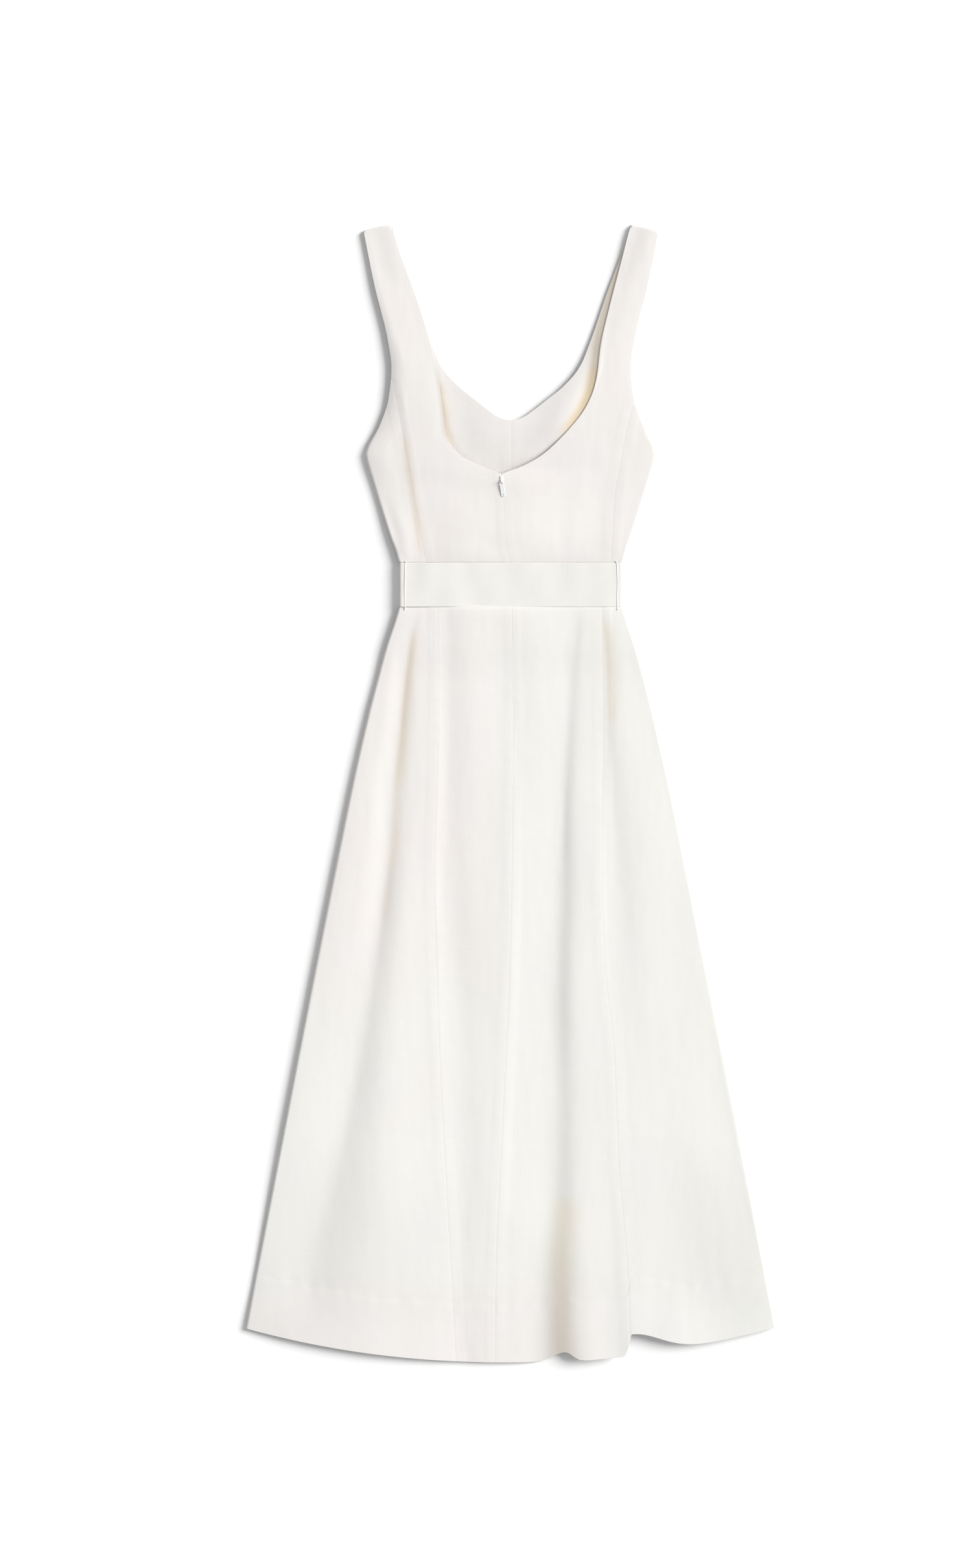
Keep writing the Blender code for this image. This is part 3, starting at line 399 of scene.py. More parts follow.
def along(rows, name, rise):
    """The named column at each rise, on a smooth curve through the rows that never overshoots them."""
    ordered = sorted(rows, key=lambda row: row.rise)
    at = np.array([row.rise for row in ordered], float)
    value = np.array([getattr(row, name) for row in ordered], float)
    step = np.diff(at)
    slope = np.diff(value) / step
    product = slope[:-1] * slope[1:]
    tangent = np.concatenate([slope[:1], np.zeros(len(product)), slope[-1:]])
    turning = product > 0
    tangent[1:-1][turning] = (2 * product / np.where(turning, slope[:-1] + slope[1:], 1))[turning]
    inside = np.clip(rise, at[0], at[-1])
    i = np.clip(np.searchsorted(at, inside, side="right") - 1, 0, len(step) - 1)
    t = (inside - at[i]) / step[i]
    rest = 1 - t
    return ((1 + 2 * t) * rest * rest * value[i] + t * rest * rest * step[i] * tangent[i]
            + t * t * (3 - 2 * t) * value[i + 1] - t * t * rest * step[i] * tangent[i + 1])


def ease(t):
    """0 to 1 with level ends."""
    t = np.clip(t, 0.0, 1.0)
    return t * t * (3 - 2 * t)


def rounded(t):
    """0 to 1 on a quarter circle."""
    t = np.clip(t, 0.0, 1.0)
    return np.sqrt(1 - (1 - t) ** 2)


def rim(distance, reach, least):
    """From the least share at an edge to 1, on a quarter circle over the reach."""
    return least + (1 - least) * rounded(distance / reach)


def band(distance, width, fade):
    """1 within the width, falling to 0 over the fade beyond it."""
    return 1 - ease((distance - width) / fade)


def bell(distance, reach):
    """1 at no distance, falling off smoothly to both sides."""
    return np.exp(-(distance / reach) ** 2)


def hill(distance, left, right):
    """A bell whose reach is another one to the left than to the right."""
    return bell(distance, np.where(distance < 0, left, right))


def beat(position, length, *drifts):
    """An uneven ripple of about one length. Each drift has a size and a length."""
    drift = sum(size * np.sin(position / reach) for size, reach in drifts)
    return np.sin(math.tau * position / length + drift)


def waves(x, rise, seed, length):
    """Gentle unevenness about zero, the sum of waves of about one length, longer along the dress."""
    draw = np.random.default_rng(seed)
    total = np.zeros_like(x)
    for _ in range(WAVE_COUNT):
        heading = draw.uniform(0, math.tau)
        number = math.tau / (length * draw.uniform(*WAVE_RANGE))
        start = draw.uniform(0, math.tau)
        total += np.sin(number * (x * math.cos(heading) + rise * math.sin(heading) / WAVE_STRETCH) + start)
    return total / math.sqrt(WAVE_COUNT / 2)


def hem_line(x, pulls):
    """Rise of a hem at x: an arc, pulled up where folds take it."""
    arc = HEM_RISE + HEM.radius - np.sqrt(HEM.radius ** 2 - (x - HEM.middle) ** 2)
    return arc + sum(pull.height * hill(x - pull.x, pull.left, pull.right) for pull in pulls)


def back_hem(x):
    return hem_line(x, HEM_PULLS)


def front_hem(x):
    return hem_line(x, FRONT_PULLS) + FRONT_HEM_INSET


def fold_lift(folds, x, rise):
    """Height that the folds add."""
    total = np.zeros_like(x)
    for one in folds:
        off = x - along(one.rows, "x", rise)
        reach = np.where(off < 0, along(one.rows, "left", rise), along(one.rows, "right", rise))
        climb = along(one.rows, "slope", rise) * reach * np.tanh(off / reach)
        total += climb * hill(off, one.left_fade, one.right_fade)
    return total


def waist_lift(rise):
    """Height that the belt's lapped run gives to all that lies on it."""
    return WAIST_LIFT * band(np.abs(rise), WAIST_LEVEL, WAIST_FADE)


def front_height(x, rise):
    """Underside of the front: flat, but lifted by the belt under the waist and swollen at the neck."""
    swell = NECK_SWELL
    neck = swell.height * bell(x - swell.x, swell.width) * bell(rise - swell.rise, swell.length)
    off = x - along(NECK_RIDGE, "x", rise)
    ridge = along(NECK_RIDGE, "height", rise) * bell(off, along(NECK_RIDGE, "reach", rise))
    return np.maximum(waist_lift(rise) + neck + ridge + fold_lift(FRONT_FOLDS, x, rise), 0)


def back_top(x, rise, to_fold=None):
    """Upper face of the back. It meets the front along the side seams and at the strap folds."""
    inward = np.maximum(along(OUTLINE, "half", rise) - np.abs(x), 0)
    edge = np.where(x < 0, along(BACK_STANDS, "left", rise), along(BACK_STANDS, "right", rise))
    inner = along(BACK_STANDS, "inner", rise)
    swell = 1 - (1 - np.clip(inward / along(BACK_STANDS, "reach", rise), 0, 1)) ** 2
    joined = band(rise, UNDERARM, ARMHOLE_OPENS)
    roll = 1 - joined * (1 - rounded(inward / ROLL))
    if to_fold is not None:
        roll = roll * rounded(to_fold / ROLL)
    stand = edge + (inner - edge) * swell + fold_lift(FOLDS, x, rise)
    top = waist_lift(rise) + 2 * CLOTH + (np.maximum(stand, LEAST_STAND) + SLACK) * roll
    return np.maximum(top, front_height(x, rise) + 2 * CLOTH + LEAST_GAP * roll)


def waist_top():
    """Upper face of the back at the middle of the waist."""
    return float(back_top(np.zeros(1), np.zeros(1))[0])


def to_metres(x, rise, height):
    return np.stack([x, rise - MIDDLE_RISE, height], axis=-1) * MM


def lines(length, step):
    """Shares of a length from 0 to 1: close together at both ends, and one step apart between them."""
    ends = np.array(EDGE_LINES) / length
    first = ends[-1]
    count = max(2, round(length * (1 - 2 * first) / step))
    middle = np.linspace(first, 1 - first, count + 1)[1:-1]
    return np.concatenate([ends, middle, (1 - ends)[::-1]])


def distance_to(line_x, line_rise, x, rise):
    """Distance of each point of a grid from a line through the given points."""
    start = np.stack([line_x[:-1], line_rise[:-1]], -1)
    run = np.stack([np.diff(line_x), np.diff(line_rise)], -1)
    square = np.maximum((run * run).sum(-1), 1e-9)
    found = np.empty_like(x)
    for i in range(len(x)):
        away = np.stack([x[i], rise[i]], -1)[:, None] - start
        t = np.clip((away * run).sum(-1) / square, 0, 1)
        found[i] = np.sqrt(((away - t[..., None] * run) ** 2).sum(-1).min(-1))
    return found


def shell_faces(rows, columns, up):
    """Quads of two grids, one over the other, and of the rim that joins them. Also the rim's points."""
    index = np.arange(rows * columns).reshape(rows, columns)
    quads = np.stack([index[:-1, :-1], index[:-1, 1:], index[1:, 1:], index[1:, :-1]], -1).reshape(-1, 4)
    border = np.concatenate([index[0, :-1], index[:-1, -1], index[-1, :0:-1], index[:0:-1, 0]])
    after = np.roll(border, -1)
    joining = np.stack([border, border + index.size, after + index.size, after], -1)
    faces = np.concatenate([quads, quads[:, ::-1] + index.size, joining])
    return faces if up else faces[:, ::-1], border


def link(thing):
    """Puts an object into the scene."""
    bpy.context.scene.collection.objects.link(thing)
    return thing


def add_mesh(name, points, faces, look):
    """A smooth mesh object from points in metres."""
    data = bpy.data.meshes.new(name)
    data.from_pydata(points.tolist(), [], [list(map(int, face)) for face in faces])
    data.update()
    data.shade_smooth()
    data.materials.append(look)
    return link(bpy.data.objects.new(name, data))


def declare(piece, body, node):
    """Hangs a piece on the body it rides on, and hides the solid that it stands for."""
    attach(piece, body)
    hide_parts(node)


def add_grain(piece, along_x, along_rise):
    """A UV map in metres that runs with the cloth's threads, the same on both faces of a shell."""
    data = piece.data
    corner_point = np.empty(len(data.loops), np.int32)
    data.loops.foreach_get("vertex_index", corner_point)
    uv = np.tile(np.stack([along_x.ravel(), along_rise.ravel()], -1), (2, 1))[corner_point] * MM
    layer = data.uv_layers.new(name="Grain", do_init=False)
    layer.uv.foreach_set("vector", uv.astype(np.float32).ravel())


def sharpen(piece, border, size):
    """Keeps the two edges of a shell's rim crisp."""
    data = piece.data
    ends = np.empty(2 * len(data.edges), np.int32)
    data.edges.foreach_get("vertices", ends)
    ends = ends.reshape(-1, 2)
    on_rim = np.zeros(2 * size, bool)
    on_rim[border] = True
    on_rim[border + size] = True
    both = on_rim[ends].all(1) & ((ends[:, 0] < size) == (ends[:, 1] < size))
    layer = data.attributes.new("sharp_edge", "BOOLEAN", "EDGE")
    layer.data.foreach_set("value", both)


def add_share(piece, name, values, under=1.0):
    """A number for each point of a shell, that its material reads. Its underside has a part of it."""
    layer = piece.data.attributes.new(name, "FLOAT", "POINT")
    both = np.concatenate([values.ravel(), values.ravel() * under])
    layer.data.foreach_set("value", both.astype(np.float32))


def add_shell(name, x, rise, top, thickness, look, lean):
    """A closed shell of cloth on a grid. lean turns its threads away from the dress's length."""
    rows, columns = x.shape
    upper = to_metres(x, rise, top).reshape(-1, 3)
    lower = to_metres(x, rise, top - thickness).reshape(-1, 3)
    up = (x[0, -1] > x[0, 0]) == (rise[-1, 0] > rise[0, 0])
    faces, border = shell_faces(rows, columns, up)
    piece = add_mesh(name, np.concatenate([upper, lower]), faces, look)
    sharpen(piece, border, rows * columns)
    add_grain(piece, x * math.cos(lean) - rise * math.sin(lean), x * math.sin(lean) + rise * math.cos(lean))
    return piece


Side = namedtuple("Side", "place kind low high", defaults=(-BEYOND, BEYOND))


def side_line(x, rise, side):
    """The line along one side of a grid, cut to the side's two rises."""
    line_x, line_rise = {"inner": (x[:, 0], rise[:, 0]), "outer": (x[:, -1], rise[:, -1]),
                         "top": (x[-1], rise[-1]), "bottom": (x[0], rise[0])}[side.place]
    kept = (line_rise >= side.low) & (line_rise <= side.high)
    return line_x[kept], line_rise[kept]


def seam_relief(distance, position):
    """Height that a plain seam adds: a groove, the allowances behind it, and a slight pucker."""
    groove = GROOVE_DEPTH * bell(distance, GROOVE_REACH) + CREASE_DEPTH * bell(distance, CREASE_REACH)
    pucker = PUCKER * beat(position, *PUCKER_BEAT) * bell(distance, PUCKER_REACH)
    return ALLOWANCE_STEP * band(distance, ALLOWANCE, BAND_FADE) - groove + pucker


def painted_warm_shade_and_tone(x, rise):
    """Share of pink in the linen's white: painted warm shade, paler where light falls, and random tone."""
    upper_left = band(x, -60, 70) * ease((rise + 560) / 200)
    hem = ease((-rise - 770) / 60) * band(x, 100, 60)
    skirt = WARM_SHADE_AND_TONE_AT.skirt + WARM_SHADE_AND_TONE_AT.upper_left * upper_left + WARM_SHADE_AND_TONE_AT.hem * hem
    pale = bell(x - PAINTED_LIT_PATCH.place[0], PAINTED_LIT_PATCH.reach) * bell(rise - PAINTED_LIT_PATCH.place[1], PAINTED_LIT_PATCH.reach)
    share = np.where(rise > 0, WARM_SHADE_AND_TONE_AT.bodice - PAINTED_LIT_PATCH.patch * pale, skirt)
    return np.clip(share + WARM_SHADE_AND_TONE_AT.waves * waves(x, rise, WARM_SHADE_AND_TONE_AT.seed, WARM_SHADE_AND_TONE_AT.wave_length), 0, 1)


def painted_crease_shade_share(tinges, x, rise):
    """Share of painted brown shade along the creases."""
    total = np.zeros_like(x)
    for tinge in tinges:
        off = x - along(tinge.fold.rows, "x", rise)
        ends = ease((rise - tinge.low) / PAINTED_CREASE_SHADE_FADE) * ease((tinge.high - rise) / PAINTED_CREASE_SHADE_FADE)
        total += tinge.share * ends * hill(off, tinge.left, tinge.right)
    return np.clip(total, 0, 1)


def panel(name, x, rise, top, sides, layer, lean=0.0, hem=None):
    """One panel of cloth with its upper face at a height, and each side finished as its kind says."""
    thickness = np.full_like(x, CLOTH)
    relief = (CREPE * waves(x, rise, layer.seed, CREPE_LENGTH)
              + RUMPLE * waves(x, rise, layer.seed + RUMPLE_SEED, RUMPLE_LENGTH))
    pinch = np.ones_like(x)
    calm = np.ones_like(x)
    for side in sides:
        distance = distance_to(*side_line(x, rise, side), x, rise)
        if side.kind == "seam":
            relief = relief + seam_relief(distance, rise)
            pinch = pinch * rim(distance, EDGE_ROUND, SEAM_RIM)
        elif side.kind == "zip":
            relief = relief + ZIP_WELT_STEP * band(distance, ZIP_WELT, BAND_FADE)
            pinch = pinch * rim(distance, ZIP_ROUND, FREE_RIM)
        elif side.kind == "free":
            turned = EDGE_STEP * band(distance, EDGE_BAND, EDGE_BAND_FADE)
            relief = relief + turned
            thickness = thickness + 2 * turned
            pinch = pinch * rim(distance, EDGE_ROUND, FREE_RIM)
        else:
            pinch = pinch * rounded(SIDE_RIM + distance / EDGE_ROUND)
            calm = calm * ease(distance / SIDE_CALM)
    doubled = np.zeros_like(x)
    if hem is not None:
        over = rise - hem(x) - HEM.depth
        doubled = band(over, -HEM.fade / 2, HEM.fade)
        stitch = bell(over + STITCH.below, STITCH.reach) * np.cos(math.pi * x / STITCH.spacing) ** 8
        drawn = bell(over, DRAWN.reach) * beat(x, *DRAWN.beat)
        relief = relief + HEM.step * doubled - STITCH.depth * stitch + DRAWN.height * drawn
        thickness = thickness + (HEM_CLOTH - CLOTH) * doubled
    whole = thickness * pinch
    upper = top + relief * calm - thickness / 2 + whole / 2
    piece = add_shell(name + "_cloth", x, rise, upper, np.minimum(whole, upper), LINEN, lean)
    add_share(piece, "doubled", doubled)
    # Painted warm shade, paler where light falls, with random tone.
    add_share(piece, "painted_warm_shade_and_tone", painted_warm_shade_and_tone(x, rise))
    # Painted brown shade along the creases, on the upper face only.
    add_share(piece, "tinge", painted_crease_shade_share(layer.tinges, x, rise), 0)
    # Painted shade, darker towards the hem.
    add_share(piece, "painted_hem_shade", PAINTED_HEM_SHADE * ease((-rise - PAINTED_HEM_SHADE_START) / PAINTED_HEM_SHADE_LENGTH))
    declare(piece, "dress", name)


def skirt_grid(inner, outer, hem, step):
    """Rows run from the waist seam down to the hem, and columns from the inner to the outer edge."""
    width = abs(outer(GORE_RISE) - inner(GORE_RISE))
    columns = lines(float(width), step)
    rows = lines(-HEM_RISE, step)[:, None]
    level = -SEAM_GAP / 2 + (HEM_RISE + SEAM_GAP / 2) * rows
    fallen = np.maximum((HEM.turn - level) / (HEM.turn - HEM_RISE), 0)
    rise = level + 0 * columns
    for _ in range(HEM.passes):
        x = inner(rise) + (outer(rise) - inner(rise)) * columns
        rise = level + (hem(x) - HEM_RISE) * fallen
    return x, rise


def strap_top(share):
    """How far a strap's folded top stands above a straight line: it bows, and its corners are rounded."""
    bow = STRAP.bow * 4 * share * (1 - share)
    corner = STRAP.corner / STRAP.width
    return bow - STRAP.corner * (2 - rounded(share / corner) - rounded((1 - share) / corner))


def bodice_grid(inner, outer, stations, width, step):
    """Rows run from the waist seam up to the strap, and columns from the inner to the outer edge."""
    low = np.array([station.inner for station in stations], float)
    high = np.array([station.outer for station in stations], float)
    lengths = np.concatenate([[0], np.cumsum((np.diff(low) + np.diff(high)) / 2)])
    position = np.union1d(lines(lengths[-1], step) * lengths[-1], lengths)
    inner_rise = np.interp(position, lengths, low)[:, None]
    outer_rise = np.interp(position, lengths, high)[:, None]
    columns = lines(width, step)
    inner_x = inner(inner_rise)
    rise = inner_rise + (outer_rise - inner_rise) * columns
    x = inner_x + (outer(outer_rise) - inner_x) * columns
    near_top = ease((rise - TOP_RISE + STRAP.shaped) / STRAP.shaped)
    return x, np.maximum(rise + near_top * strap_top(columns), SEAM_GAP / 2)


def seam(rows, column, side):
    """One edge of a seam, half a gap off its line."""
    return lambda rise: along(rows, column, rise) + side * SEAM_GAP / 2


def outline(sign, inset=0.0):
    return lambda rise: sign * (along(OUTLINE, "half", rise) - inset)


def neck_edge(below, neck, sign, gap=0.0):
    """A panel's inner edge: the given one, and above its lowest point the neckline."""
    return lambda rise: np.where(rise <= neck[0].rise, below(rise), sign * (along(neck, "side", rise) + gap))


def make_back_skirt():
    plain = [("seam",)]
    zipped = [("zip", ZIP_BOTTOM), ("seam", -BEYOND, ZIP_BOTTOM)]
    for hand, inner, outer, inner_kinds, outer_kinds, lean in (
            ("side_left", outline(-1), seam(SKIRT_SEAMS, "left", -1), [("side",)], plain, -SIDE_GORE_LEAN),
            ("left", seam(SKIRT_SEAMS, "left", 1), seam(SKIRT_SEAMS, "centre", -1), plain, zipped,
             -CENTRE_GORE_LEAN),
            ("right", seam(SKIRT_SEAMS, "centre", 1), seam(SKIRT_SEAMS, "right", -1), zipped, plain,
             CENTRE_GORE_LEAN),
            ("side_right", outline(1), seam(SKIRT_SEAMS, "right", 1), [("side",)], plain, SIDE_GORE_LEAN)):
        x, rise = skirt_grid(inner, outer, back_hem, BACK_STEP)
        sides = [Side("inner", *kind) for kind in inner_kinds]
        sides += [Side("outer", *kind) for kind in outer_kinds]
        sides.append(Side("top", "free"))
        top = back_top(x, rise)
        panel("back_skirt_" + hand, x, rise, top, sides, BACK, lean, back_hem)


def make_front_skirt():
    x, rise = skirt_grid(outline(-1, FRONT_INSET), outline(1, FRONT_INSET), front_hem, FRONT_STEP)
    sides = [Side("inner", "side"), Side("outer", "side"), Side("top", "free")]
    panel("front_skirt", x, rise, front_height(x, rise) + CLOTH, sides, FRONT, 0.0, front_hem)


def make_back_bodice():
    for sign, hand, neck, seam_top in ((-1, "left", BACK_NECK_LEFT, LEFT_SEAM_TOP),
                                       (1, "right", BACK_NECK_RIGHT, RIGHT_SEAM_TOP)):
        low = neck[0].rise
        beside = seam(BODICE_SEAMS, hand, -sign)
        armhole = outline(sign)
        x, rise = bodice_grid(neck_edge(seam(BODICE_SEAMS, "centre", sign), neck, sign),
                              lambda r: np.where(r <= seam_top, beside(r), armhole(r)),
                              BACK_STATIONS, BACK_BODICE_WIDTH, BODICE_STEP)
        to_fold = distance_to(x[-1], rise[-1], x, rise)
        sides = [Side("inner", "zip", 0, low + 0.5), Side("inner", "free", low - 0.5),
                 Side("outer", "seam", 0, seam_top), Side("outer", "free", seam_top), Side("top", "side")]
        panel("back_bodice_" + hand, x, rise, back_top(x, rise, to_fold), sides, BACK,
              -sign * BODICE_LEAN)

        stations = table("inner outer", *[(s.outer, s.outer) for s in BACK_STATIONS if s.outer <= seam_top])
        inner = seam(BODICE_SEAMS, hand, sign)
        x, rise = bodice_grid(armhole, inner, stations, SIDE_BODY_WIDTH, BODICE_STEP)
        sides = [Side("inner", "side", 0, UNDERARM), Side("inner", "free", UNDERARM), Side("outer", "seam")]
        panel("back_side_" + hand, x, rise, back_top(x, rise), sides, BACK, -sign * SIDE_BODY_LEAN)


def make_front_bodice():
    for sign, hand, neck in ((-1, "left", FRONT_NECK_LEFT), (1, "right", FRONT_NECK_RIGHT)):
        low = neck[0].rise
        centre = sign * SEAM_GAP / 2
        x, rise = bodice_grid(neck_edge(lambda r: centre + 0 * r, neck, sign, SEAM_GAP / 2),
                              outline(sign, FRONT_INSET), FRONT_STATIONS, FRONT_BODICE_WIDTH,
                              FRONT_BODICE_STEP)
        sides = [Side("inner", "seam", 0, low), Side("inner", "free", low - 0.5),
                 Side("outer", "side", 0, UNDERARM), Side("outer", "free", UNDERARM), Side("top", "side")]
        panel("front_bodice_" + hand, x, rise, front_height(x, rise) + CLOTH, sides, FRONT)


def directions(points):
    """The way a line runs at each of its points."""
    run = np.gradient(points, axis=0)
    return run / np.linalg.norm(run, axis=1)[:, None]


def lengths_along(points):
    """Length of a line up to each of its points."""
    return np.concatenate([[0], np.cumsum(np.linalg.norm(np.diff(points, axis=0), axis=1))])


def belt_route():
    """The strip's middle line in X and Z: under the front, over the back, and under the front again."""
    low = BELT.wall / 2
    high = waist_top() + BELT.gap + BELT.wall / 2
    turn_x = BELT.half_length - BELT.wall / 2 - BELT.turn
    middle = (high + low) / 2
    route = [(x, low) for x in np.linspace(BELT.lap_start, -turn_x, BELT.steps, endpoint=False)]
    for sign in (-1, 1):
        for part in np.linspace(0, 1, BELT.turn_steps):
            x = sign * (turn_x + BELT.turn * math.sin(math.pi * part))
            route.append((x, middle + sign * (high - low) / 2 * math.cos(math.pi * part)))
        if sign == -1:
            route += [(x, high) for x in np.linspace(-turn_x, turn_x, 2 * BELT.steps)[1:-1]]
    end = BELT.lap_end - BELT.lap_start
    for distance in np.linspace(turn_x - BELT.lap_start, end, 2 * BELT.steps)[1:]:
        share = ease((BELT.climb_start - distance) / (BELT.climb_start - BELT.climb_end))
        route.append((BELT.lap_start + distance, low + (BELT.wall + BELT.gap) * float(share)))
    return np.array(route)


def make_belt():
    """A strip that follows its route, with soft edges and a slight unevenness."""
    route = belt_route()
    run = directions(route)
    normal = np.stack([run[:, 1], -run[:, 0]], -1)
    covered = lengths_along(route)
    share = lines(BELT.width, BELT.row_step)
    across = (share - 0.5) * BELT.width
    pinch = rounded(BELT.rim + np.minimum(share, 1 - share) * BELT.width / BELT.round)
    along_belt, over_belt = np.meshgrid(covered, across, indexing="ij")
    uneven = sum(wave.height * waves(along_belt, over_belt, wave.seed, wave.length) for wave in BELT.waves)
    end = np.minimum(covered, covered[-1] - covered)[:, None]
    stitched = 1 - BELT.stitch_depth * bell(np.abs(over_belt) - BELT.stitch, 1)
    thick = BELT.wall * pinch * rounded(BELT.end_rim + end / BELT.end_round) * stitched
    sway, slow = BELT.sway_lengths
    rise = over_belt + BELT.sway * np.sin(along_belt / sway) * np.sin(along_belt / slow + 1)
    faces_of_belt = []
    for offset in (thick / 2, -thick / 2):
        shifted = route[:, None] + normal[:, None] * (offset + uneven)[..., None]
        faces_of_belt.append(to_metres(shifted[..., 0], rise, shifted[..., 1]).reshape(-1, 3))
    points = np.concatenate(faces_of_belt)
    points[:, 2] = np.maximum(points[:, 2], 0)
    belt = add_mesh("belt_strip", points, shell_faces(len(covered), len(share), True)[0], BELT_LINEN)
    add_grain(belt, over_belt, along_belt)
    # Painted shade: warmer and darker towards the belt's left end.
    shaded_left_end = ease((-route[:, :1] - BELT.left_shade_start) / BELT.left_shade_fade)
    add_share(belt, "painted_warm_shade_and_tone", np.tile(BELT.painted_warm_shade_and_tone + BELT.end_painted_warm_shade_and_tone * shaded_left_end, len(share)))
    declare(belt, "dress", "belt")


def ring_faces(levels, sides):
    """Faces of a stack of rings, closed at both ends."""
    faces = []
    for low in range(0, (levels - 1) * sides, sides):
        for k in range(sides):
            after = low + (k + 1) % sides
            faces.append((low + k, after, after + sides, low + k + sides))
    return faces + [tuple(range(sides))[::-1], tuple(range((levels - 1) * sides, levels * sides))]


def tube(points, radius, sides=8):
    """Points and faces of a round tube along points. radius may vary along it."""
    run = directions(points)
    side = np.cross(run[0], (0, 0, 1) if abs(run[0, 2]) < 0.9 else (1, 0, 0))
    turn = np.arange(sides) * math.tau / sides
    rings = []
    for point, forward, reach in zip(points, run, np.broadcast_to(radius, len(points))):
        side = side - forward * (side @ forward)
        side /= np.linalg.norm(side)
        other = np.cross(forward, side)
        rings.append(point + reach * (np.cos(turn)[:, None] * side + np.sin(turn)[:, None] * other))
    return np.concatenate(rings), ring_faces(len(points), sides)


def plate(outline_points, levels):
    """Points and faces of stacked outlines, each drawn in by its inset at its height."""
    centre = outline_points.mean(0)
    away = outline_points - centre
    reach = np.linalg.norm(away, axis=1)[:, None]
    rings = []
    for inset, height in levels:
        ring = centre + away * (1 - inset / reach)
        rings.append(np.column_stack([ring, np.full(len(ring), height)]))
    return np.concatenate(rings), ring_faces(len(levels), len(away))


def helix(points, radius, pitch, start):
    """A line wound round another one."""
    run = directions(points)
    side = np.array((1.0, 0.0, 0.0)) - run * run[:, :1]
    side /= np.linalg.norm(side, axis=1)[:, None]
    turn = math.tau * lengths_along(points) / pitch + start
    return points + radius * (np.cos(turn)[:, None] * side + np.sin(turn)[:, None] * np.cross(run, side))


def knot(centre, size, radius):
    """A small trefoil knot."""
    turn = np.linspace(0, math.tau, 49)
    curve = np.stack([np.sin(turn) + 2 * np.sin(2 * turn), np.cos(turn) - 2 * np.cos(2 * turn),
                      -LOOP.knot_squash * np.sin(3 * turn)], -1)
    return tube(curve * size / 3 + centre, radius)


def add_small(name, parts, look, node):
    """One piece of several parts, each with its points in millimetres and its faces."""
    points = np.empty((0, 3))
    faces = []
    for part_points, part_faces in parts:
        faces += [[int(corner) + len(points) for corner in face] for face in part_faces]
        points = np.concatenate([points, part_points])
    declare(add_mesh(name, to_metres(*points.T), faces, look), "dress", node)


def make_belt_loop(name, sign):
    """A twisted thread from the bodice above the belt, over the belt, to the skirt below it."""
    part = np.linspace(-1, 1, LOOP.points)
    rise = (LOOP.top + LOOP.foot) / 2 + part * (LOOP.top - LOOP.foot) / 2
    hook = LOOP.hook * ease((part - LOOP.hook_start) / (1 - LOOP.hook_start))
    x = sign * LOOP.side - sign * hook + LOOP.sway * np.sin(part * LOOP.sway_turn + sign)
    end = back_top(x, rise) + LOOP.radius * LOOP.rest
    crossing = waist_top() + BELT.gap + BELT.wall - LOOP.sunk
    over = np.minimum(ease((LOOP.top - rise) / (LOOP.top - BELT.width / 2 - LOOP.shoulder)),
                      ease((rise - LOOP.foot) / (-BELT.width / 2 - LOOP.foot - LOOP.shoulder)))
    height = end + (crossing - end) * over + LOOP.bow * (1 - part * part)
    line = np.stack([x, rise, height], -1)
    parts = [tube(helix(line, LOOP.radius * LOOP.strand_off, LOOP.strand_twist, start),
                  LOOP.radius * LOOP.strand_radius) for start in (0, math.pi)]
    parts += [knot(line[index], LOOP.radius * LOOP.knot_size, LOOP.radius * LOOP.knot_radius)
              for index in (0, -1)]
    tail = line[-1] + np.linspace(0, 1, LOOP.tail_points)[:, None] * np.array(LOOP.tail_run) * (sign, 1, 1)
    thinning = np.linspace(LOOP.knot_radius, LOOP.tail_end_radius, LOOP.tail_points)
    parts.append(tube(tail, LOOP.radius * thinning))
    add_small(name + "_thread", parts, THREAD, name)


def make_zip_chain():
    """The zip's two tapes and its coil, behind the centre-back seam."""
    rise = np.arange(ZIP_TOP - 1, ZIP_BOTTOM, -COIL.step)
    centre = np.where(rise > 0, along(BODICE_SEAMS, "centre", rise), along(SKIRT_SEAMS, "centre", rise))
    under = back_top(centre, rise) - CLOTH - COIL.drop
    parts = []
    for start, shift in ((0, -COIL.shift), (math.pi, COIL.shift)):
        turn = math.tau * rise / COIL.pitch + start
        coil = np.stack([centre + shift + COIL.width * np.cos(turn), rise,
                         under + COIL.height * np.sin(turn)], -1)
        parts.append(tube(coil, COIL.radius, COIL.sides))
    middle = np.stack([centre, rise, under - TAPE.drop], -1)[::TAPE.sampling]
    for sign in (-1, 1):
        edges = [middle + (sign * away, 0, 0) for away in (TAPE.inner, TAPE.inner + TAPE.width)]
        grid = np.stack(edges, 1).reshape(-1, 3)
        points = np.concatenate([grid, grid - (0, 0, TAPE.wall)])
        parts.append((points, shell_faces(len(middle), 2, True)[0]))
    add_small("zip_coil_and_tapes", parts, PLASTIC, "zip_chain")


def squared(value):
    """A cosine or sine squared off, for an outline between an ellipse and a rectangle."""
    return np.sign(value) * np.abs(value) ** SLIDER.squareness


